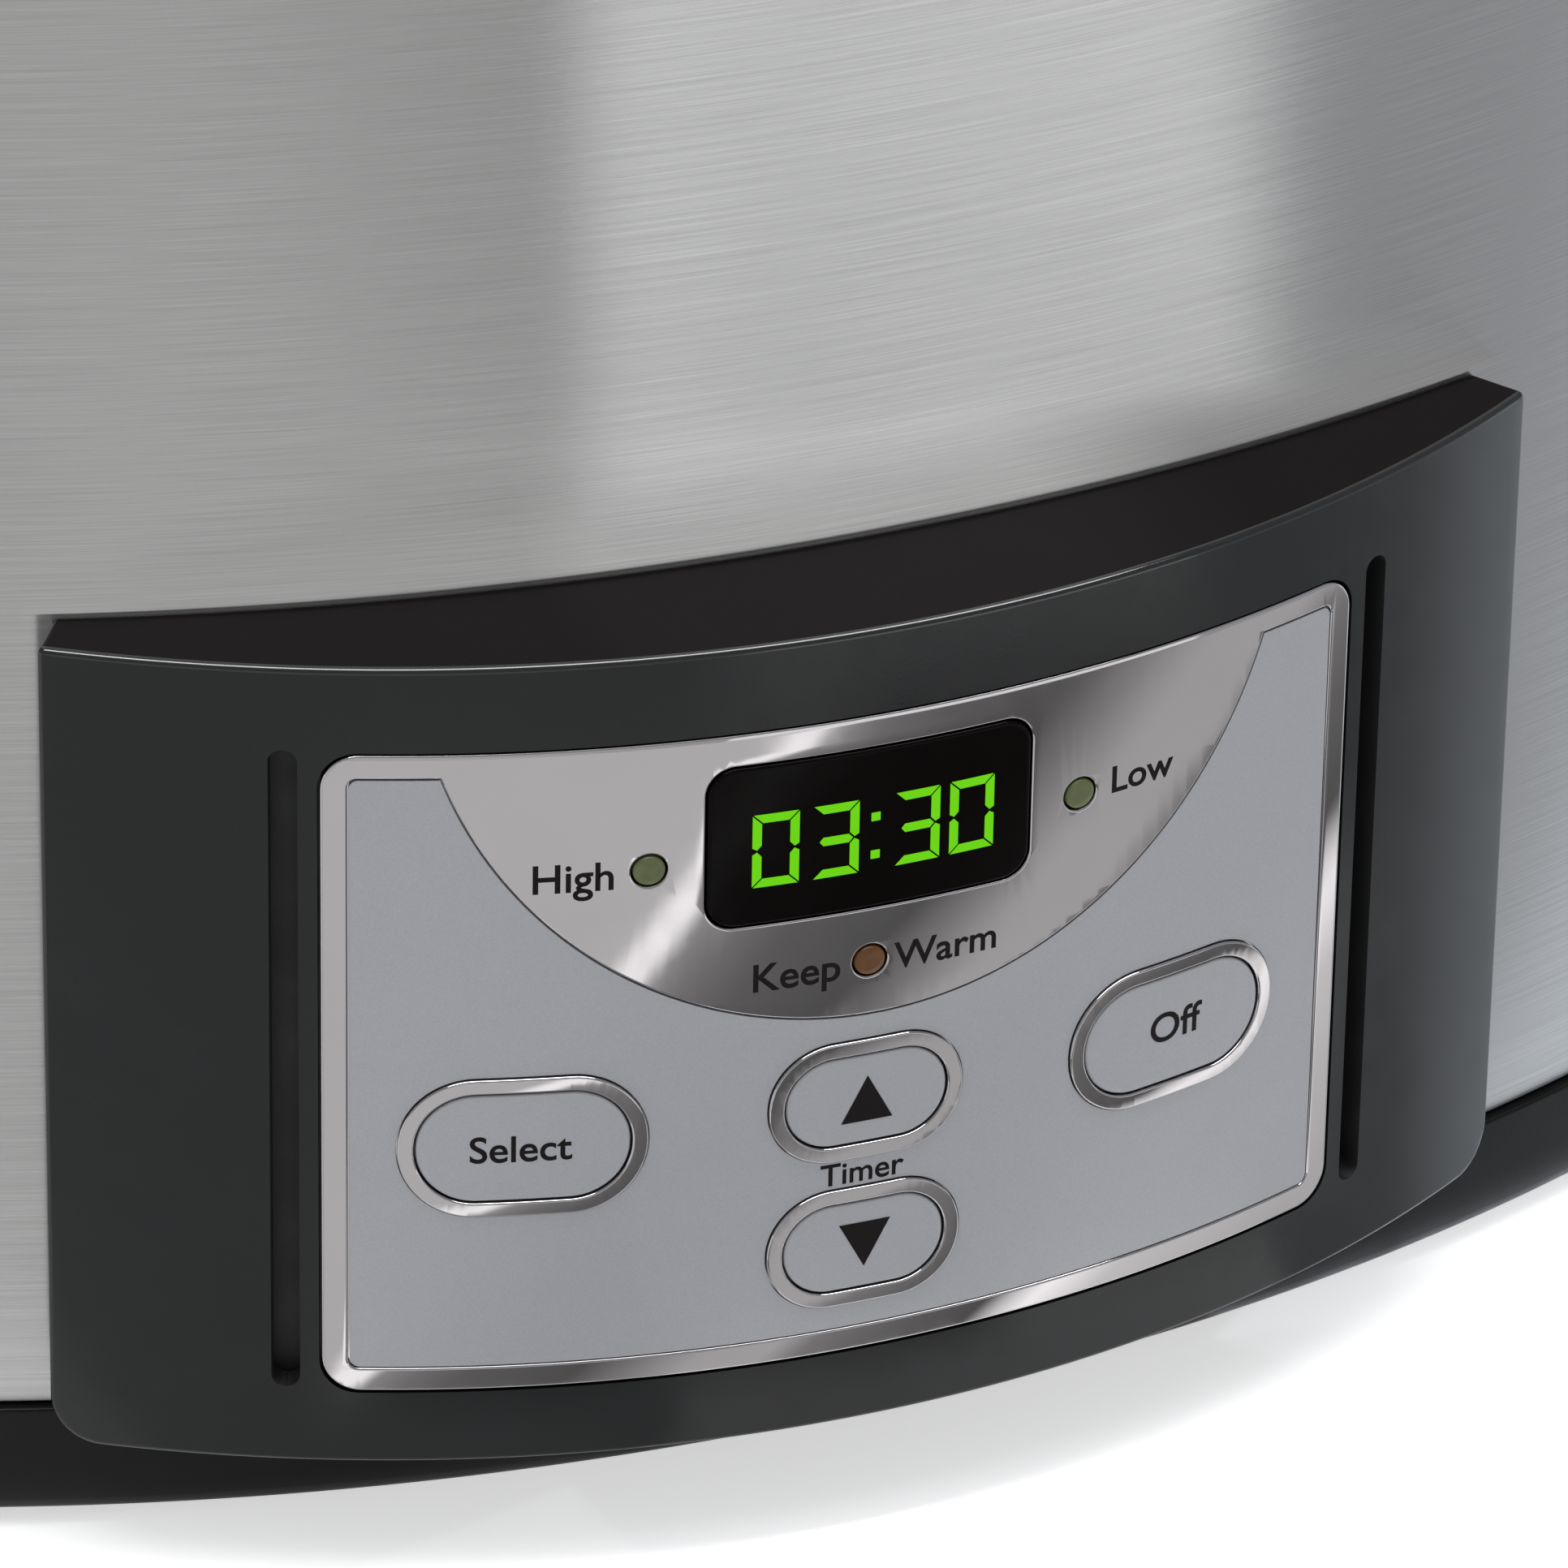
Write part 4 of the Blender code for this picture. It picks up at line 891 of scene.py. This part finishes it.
def bail_points(side):
    half, reach, rise, radius = 0.031, 0.036, 0.018, 0.0030
    corners = [(0.0, half, 0.0), (reach, half, 0.0), (reach, half, rise)]
    corners += [(x, -y, z) for x, y, z in reversed(corners)]
    path = [Vector(p) for p in ((0.0, 0.0228, 0.0), *corners, (0.0, -0.0228, 0.0))]
    points = [path[0]]
    for before, corner, after in zip(path, path[1:], path[2:]):
        start = corner + (before - corner).normalized() * radius
        end = corner + (after - corner).normalized() * radius
        for k in range(9):
            t = k / 8
            points.append(start * (1 - t) ** 2 + corner * 2 * t * (1 - t) + end * t ** 2)
    points.append(path[-1])
    return [Vector((side * (PIVOT_X + p.x), BODY_Y + p.y, PIVOT_Z + p.z)) for p in points]


def make_latch(side, name):
    curve = bpy.data.curves.new("bail", "CURVE")
    curve.dimensions = "3D"
    curve.bevel_depth = 0.0015
    curve.bevel_resolution = 6
    curve.use_fill_caps = True
    points = bail_points(side)
    spline = curve.splines.new("POLY")
    spline.points.add(len(points) - 1)
    for point, spot in zip(spline.points, points):
        point.co = (*spot, 1.0)
    mesh = mesh_from_curve(curve, 1e-6)
    body = f"latch_{name}"
    add(f"latch_wire_{name}", shaded(mesh, 50), ZINC, body, [f"latch_bail_{name}"])
    middle = side * (0.012 + 0.029) / 2
    tab = sheet([rounded(middle, 0.0, 0.017, 0.070, 0.005, 10)], -0.0034, 0.0034, edge=0.0016, under=0.0016)
    cuts = []
    for k in range(5):
        spot = side * (0.0145 + 0.003 * k)
        cuts.append(sheet([rounded(spot, 0.0, 0.0011, 0.044, 0.0005, 6)], 0.0029, 0.006))
    for end in (-1, 1):
        turn = Matrix.Translation((middle, end * 0.031, 0)) @ Matrix.Rotation(math.pi / 2, 4, "Y")
        cuts.append(rod(turn, 1.7, 30.0, -30.0))
    mesh = cut(tab, cuts)
    mesh.transform(at(side * PIVOT_X, 0.0, PIVOT_Z))
    add(f"latch_flap_{name}", shaded(mesh), BLACK, body, [f"latch_tab_{name}"])


# ---- The crock and the lid ----
def make_crock():
    crock = lathe([
        (0.0, 43.8), (124.0, 43.8, 6.0), (137.0, 47.5, 6.0), (145.5, 57.0, 8.0), (156.0, 181.5, 2.0),
        (158.5, 184.8, 2.0), (170.5, 185.6, 1.5), (173.3, 190.5, 0.8), (174.8, 191.5, 1.0),
        (178.8, 191.5, 2.0), (182.0, 187.0, 3.5), (180.8, 180.9, 0.6), (179.0, 180.3, 0.6),
        (166.2, 180.3, 1.0), (163.4, 177.2, 1.5), (153.5, 60.0, 8.0), (147.5, 41.0, 6.0),
        (138.5, 35.0, 4.0), (130.0, 33.6, 1.0), (127.5, 35.0, 1.0), (0.0, 35.0)], 320)
    add("crock_glazed", crock, GLAZE, "crock", ["crock"])


def make_lid():
    """The glass with its gasket, its steam vent and the two ears that the latches hook over."""
    glass = lathe([
        (4.5, 214.0), (60.0, 212.2, 18.0), (112.0, 206.0, 14.0), (143.0, 198.5, 9.0), (164.0, 190.7, 2.0),
        (169.0, 190.3, 0.6), (169.0, 187.4, 0.6), (163.6, 187.4, 2.0), (141.8, 195.5, 9.0),
        (111.0, 203.1, 14.0), (59.6, 209.3, 18.0), (4.5, 211.0)], 256)
    vent = at(0.070)
    glass = shaded(cut(glass, [rod(vent, 4.6, 220.0, 200.0, 48)]), 30)
    add("lid_pane", glass, GLASS, "lid", ["lid_glass"])
    gasket = lathe([
        (171.2, 191.6, 0.4), (171.6, 190.4, 0.5), (171.6, 188.6, 0.8), (169.6, 185.9, 0.6),
        (164.0, 185.9, 0.3), (164.0, 187.1, 0.3), (169.3, 187.1), (169.3, 190.6), (165.5, 190.8, 0.2),
        (165.5, 191.6, 0.3)], 256)
    add("gasket_ring", gasket, RUBBER, "lid", ["lid_gasket"])
    grommet = turned_at(vent, [
        (6.0, 214.2, 0.5), (7.0, 213.2, 0.4), (7.0, 212.4, 0.2), (4.3, 212.4), (4.0, 206.0, 0.4),
        (2.0, 206.0, 0.3), (2.0, 214.2, 0.5)])
    add("vent_ring", grommet, RUBBER, "lid", ["vent_grommet"])
    for side, name in SIDES:
        tongue = rounded(side * 0.1680, BODY_Y, 0.0120, 0.0300, 0.0022, 8)
        lip = rounded(side * 0.1637, BODY_Y, 0.0034, 0.0300, 0.0014, 8)
        mesh = boolean(sheet([tongue], 0.1919, 0.1963, edge=0.0008, under=0.0004),
                       [("UNION", sheet([lip], 0.1921, 0.2000, edge=0.0010))])
        add(f"ear_{name}", shaded(mesh), BLACK, "lid", [f"lid_ear_{name}"])


def make_knob():
    centre = at(0.0)
    escutcheon = turned_at(centre, [(21.0, 215.9, 1.0), (24.0, 215.1, 0.4), (24.0, 214.3), (4.2, 214.3),
                                    (4.2, 215.9)], 96)
    add("knob_base_ring", escutcheon, CHROME, "lid", ["knob_escutcheon"])
    knob = turned_at(centre, [
        (0.0, 241.2), (12.0, 240.8, 6.0), (21.5, 238.5, 3.5), (24.0, 234.5, 2.5), (21.5, 230.8, 2.5),
        (13.5, 226.2, 3.5), (12.2, 222.0, 3.0), (16.5, 217.2, 1.4), (17.2, 216.2), (2.8, 216.2),
        (2.8, 230.0), (0.0, 230.0)], 128)
    add("knob_turned", knob, BLACK, "lid", ["lid_knob"])
    screw = turned_at(centre, [(0.0, 228.0), (1.6, 228.0, 0.3), (2.4, 227.0), (2.4, 210.6),
                               (6.0, 210.6, 0.3), (5.2, 208.0, 0.9), (0.0, 208.0)])
    add("knob_fixing_screw", screw, ZINC, "lid", ["knob_screw"])


def paint_frame():
    """Better materials for the CAD pieces that stay."""
    by_slot = {
        "galvanised_sheet": GALVANISED, "zinc_plated_steel": ZINC, "mica_band": MICA, "glass_wool": BLANKET,
        "circuit_board": BOARD, "component_black": COMPONENT, "sensor_aluminium": ALUMINIUM,
        "black_plastic": BLACK, "foot_rubber": RUBBER,
    }
    slots = {row["node"]: row["material_slot"] for row in frame["record"]["subparts"]}
    for name, item in frame["nodes"].items():
        finish = by_slot.get(slots[name])
        if finish is not None:
            for place in item.material_slots:
                place.material = finish


# ---- Floor, lights and camera ----
def area_light(name, spot, target, size, power):
    data = bpy.data.lights.new(name, "AREA")
    data.shape = "RECTANGLE"
    data.size, data.size_y = size
    data.energy = power
    item = placed(name, data)
    item.location = spot
    item.rotation_euler = (Vector(target) - Vector(spot)).to_track_quat("-Z", "Y").to_euler()
    return item


def reflection_card(name, rows, tones, stops):
    """A card lying in front of the cooker that only reflections show, lit by a tone at each point."""
    width = len(rows[0])
    points = [point for row in rows for point in row]
    faces = [(r * width + k, r * width + k + 1, (r + 1) * width + k + 1, (r + 1) * width + k)
             for r in range(len(rows) - 1) for k in range(width - 1)]
    mesh = bpy.data.meshes.new(name)
    mesh.from_pydata(points, [], faces)
    mesh.attributes.new("tone", "FLOAT", "POINT").data.foreach_set("value", tones)
    material = bpy.data.materials.new(name)
    material.use_nodes = True
    tree = material.node_tree
    tree.nodes.clear()
    tone = tree.nodes.new("ShaderNodeAttribute")
    tone.attribute_name = "tone"
    ramp = tree.nodes.new("ShaderNodeValToRGB")
    for i, (place, level) in enumerate(stops):
        element = ramp.color_ramp.elements[i] if i < 2 else ramp.color_ramp.elements.new(place)
        element.position = place
        element.color = (*level, 1.0) if isinstance(level, tuple) else (level, level, level, 1.0)
    glow = tree.nodes.new("ShaderNodeEmission")
    output = tree.nodes.new("ShaderNodeOutputMaterial")
    tree.links.new(tone.outputs["Fac"], ramp.inputs["Fac"])
    tree.links.new(ramp.outputs["Color"], glow.inputs["Color"])
    tree.links.new(glow.outputs["Emission"], output.inputs["Surface"])
    mesh.materials.append(material)
    card = placed(name, mesh)
    card.visible_camera = card.visible_diffuse = card.visible_transmission = False
    card.visible_volume_scatter = card.visible_shadow = False


def make_wall_cards():
    """Two grey fans that the steel mirrors on either side of its bright band."""
    grey, light = (0.61, 0.62, 0.65), (1.30, 1.38, 1.48)
    for name, (x, y), (first, last), stops in (
            ("card_left", (-0.0214, -0.1322), (-75.0, 10.0), ((0.0, 0.89), (0.7, 0.83), (1.0, 0.65))),
            ("card_right", (0.0411, -0.1295), (44.8, 130.0), ((0.0, grey), (0.35, grey), (0.50, light)))):
        rows, tones = [], []
        for reach in (0.0, 0.3, 1.0, 5.0):
            row = []
            for k in range(25):
                turn = math.radians(first + (last - first) * k / 24)
                row.append((x + reach * math.sin(turn), y - reach * math.cos(turn), 0.0005))
                tones.append(k / 24)
            rows.append(row)
        reflection_card(name, rows, tones, stops)


def make_shelf_card():
    """A card just over the shelf, so that the steel above it stays as even as the rest of the wall."""
    rows, tones = [[], []], []
    for row, share in zip(rows, (0.02, 0.97)):
        for k in range(49):
            x = PANEL_HALF * 0.94 * (k / 24 - 1)
            wall = BODY_Y - OVAL * math.sqrt(BODY_RADIUS ** 2 - x ** 2)
            front = BODY_Y + PANEL_RADIUS - PANEL_FRONT - math.sqrt(PANEL_RADIUS ** 2 - x ** 2)
            row.append((x, wall + (front - wall) * share, PANEL_TOP + 0.0003))
            tones.append(k / 48)
    reflection_card("card_shelf", rows, tones, (
        (0.0, 0.89), (0.31, 0.86), (0.36, 1.04), (0.66, 1.04), (0.78, 0.66), (1.0, 0.64)))


def make_plate_card(camera):
    """A striped card that the polished plate mirrors, so that soft streaks run slantwise across it."""
    eye = camera.matrix_world.translation
    across = camera.matrix_world.to_3x3() @ STREAK_ACROSS
    rows, tones = [], []
    for k in range(36):
        row = []
        for i in range(90):
            up = 0.0190 + 0.0680 * k / 35
            along = -0.0495 + 0.099 * i / 89
            point = on_panel(along, up)
            normal = (point - on_panel(along, up, -0.001)).normalized()
            sight = (point - eye).normalized()
            mirrored = sight - 2 * sight.dot(normal) * normal
            spot = point - mirrored * (up - 0.001) / mirrored.z
            row.append((spot.x, spot.y, 0.001))
            tones.append(((point - PANEL_VIEWED).dot(across) - STREAKS_START) / STREAKS_SPAN)
        rows.append(row)
    reflection_card("card_plate", rows, tones, (
        (0.0, 1.0), (0.330, 1.0), (0.345, 2.1), (0.360, 2.1), (0.373, 0.55), (0.402, 0.36), (0.440, 0.24),
        (0.524, 0.18), (0.566, 0.45), (0.611, 0.80), (0.664, 0.82), (0.693, 0.40), (0.744, 0.27),
        (0.806, 0.17), (0.826, 1.3), (0.846, 2.1), (0.892, 1.25), (1.0, 0.92)))


def make_stage():
    """A pale floor, a bright room, two soft lights, a softbox for highlights and the reflection cards."""
    mesh = mesh_of([(-9, -9, 0), (9, -9, 0), (9, 9, 0), (-9, 9, 0)], [(0, 1, 2, 3)])
    floor = placed("floor", mesh)
    finish = Finish("pale_floor", (0.93, 0.93, 0.935), 0.6, emission_strength=0.58,
                    emission_color=(1.0, 1.0, 1.0, 1.0))
    finish.vary_colour(finish.noise(1.5, 3.0), 0.985, 1.01)
    mesh.materials.append(finish.material)
    world = bpy.data.worlds.new("studio")
    bpy.context.scene.world = world
    world.use_nodes = True
    background = world.node_tree.nodes["Background"]
    background.inputs["Color"].default_value = (0.95, 0.97, 1.0, 1.0)
    background.inputs["Strength"].default_value = 0.45
    area_light("overhead", (0.0, -0.1, 2.2), (0.0, 0.0, 0.1), (2.4, 2.4), 28.0)
    area_light("strip", (0.0, -0.35, 1.3), (0.0, -0.1, 0.1), (1.6, 0.06), 5.0)
    softbox = area_light("softbox", (0.0, -0.38, 1.3), (0.0, -0.1, 0.1), (1.6, 0.35), 17.0)
    softbox.visible_diffuse = softbox.visible_transmission = False
    make_wall_cards()
    make_shelf_card()
    make_plate_card(bpy.context.scene.camera)


def make_camera():
    """Seen from the front left and above, close in on the control panel with a long lens."""
    forward = Vector((math.sin(CAMERA_TURN) * math.cos(CAMERA_TILT),
                      math.cos(CAMERA_TURN) * math.cos(CAMERA_TILT), -math.sin(CAMERA_TILT)))
    right = Vector((math.cos(CAMERA_TURN), -math.sin(CAMERA_TURN), 0.0))
    up = right.cross(forward)
    across = right * math.cos(CAMERA_ROLL) + up * math.sin(CAMERA_ROLL)
    upward = -right * math.sin(CAMERA_ROLL) + up * math.cos(CAMERA_ROLL)
    data = bpy.data.cameras.new("camera")
    camera = placed("camera", data)
    axes = Matrix((across, upward, -forward)).transposed().to_4x4()
    camera.matrix_world = Matrix.Translation(PANEL_VIEWED - forward * CAMERA_DISTANCE) @ axes
    data.sensor_width, data.lens = SENSOR_MM, LENS_MM
    data.shift_x, data.shift_y = LENS_SHIFT
    data.clip_start, data.clip_end = 0.05, 50.0
    bpy.context.scene.camera = camera


def main():
    bpy.context.scene.view_settings.view_transform = "Standard"
    make_camera()
    make_stage()
    make_wall()
    make_base()
    make_gland()
    make_collar()
    make_well()
    make_housing()
    make_plate()
    make_buttons()
    make_window()
    make_digits()
    make_labels()
    for side, name in SIDES:
        make_handle(side, name)
        make_latch(side, name)
    make_crock()
    make_lid()
    make_knob()
    paint_frame()


main()
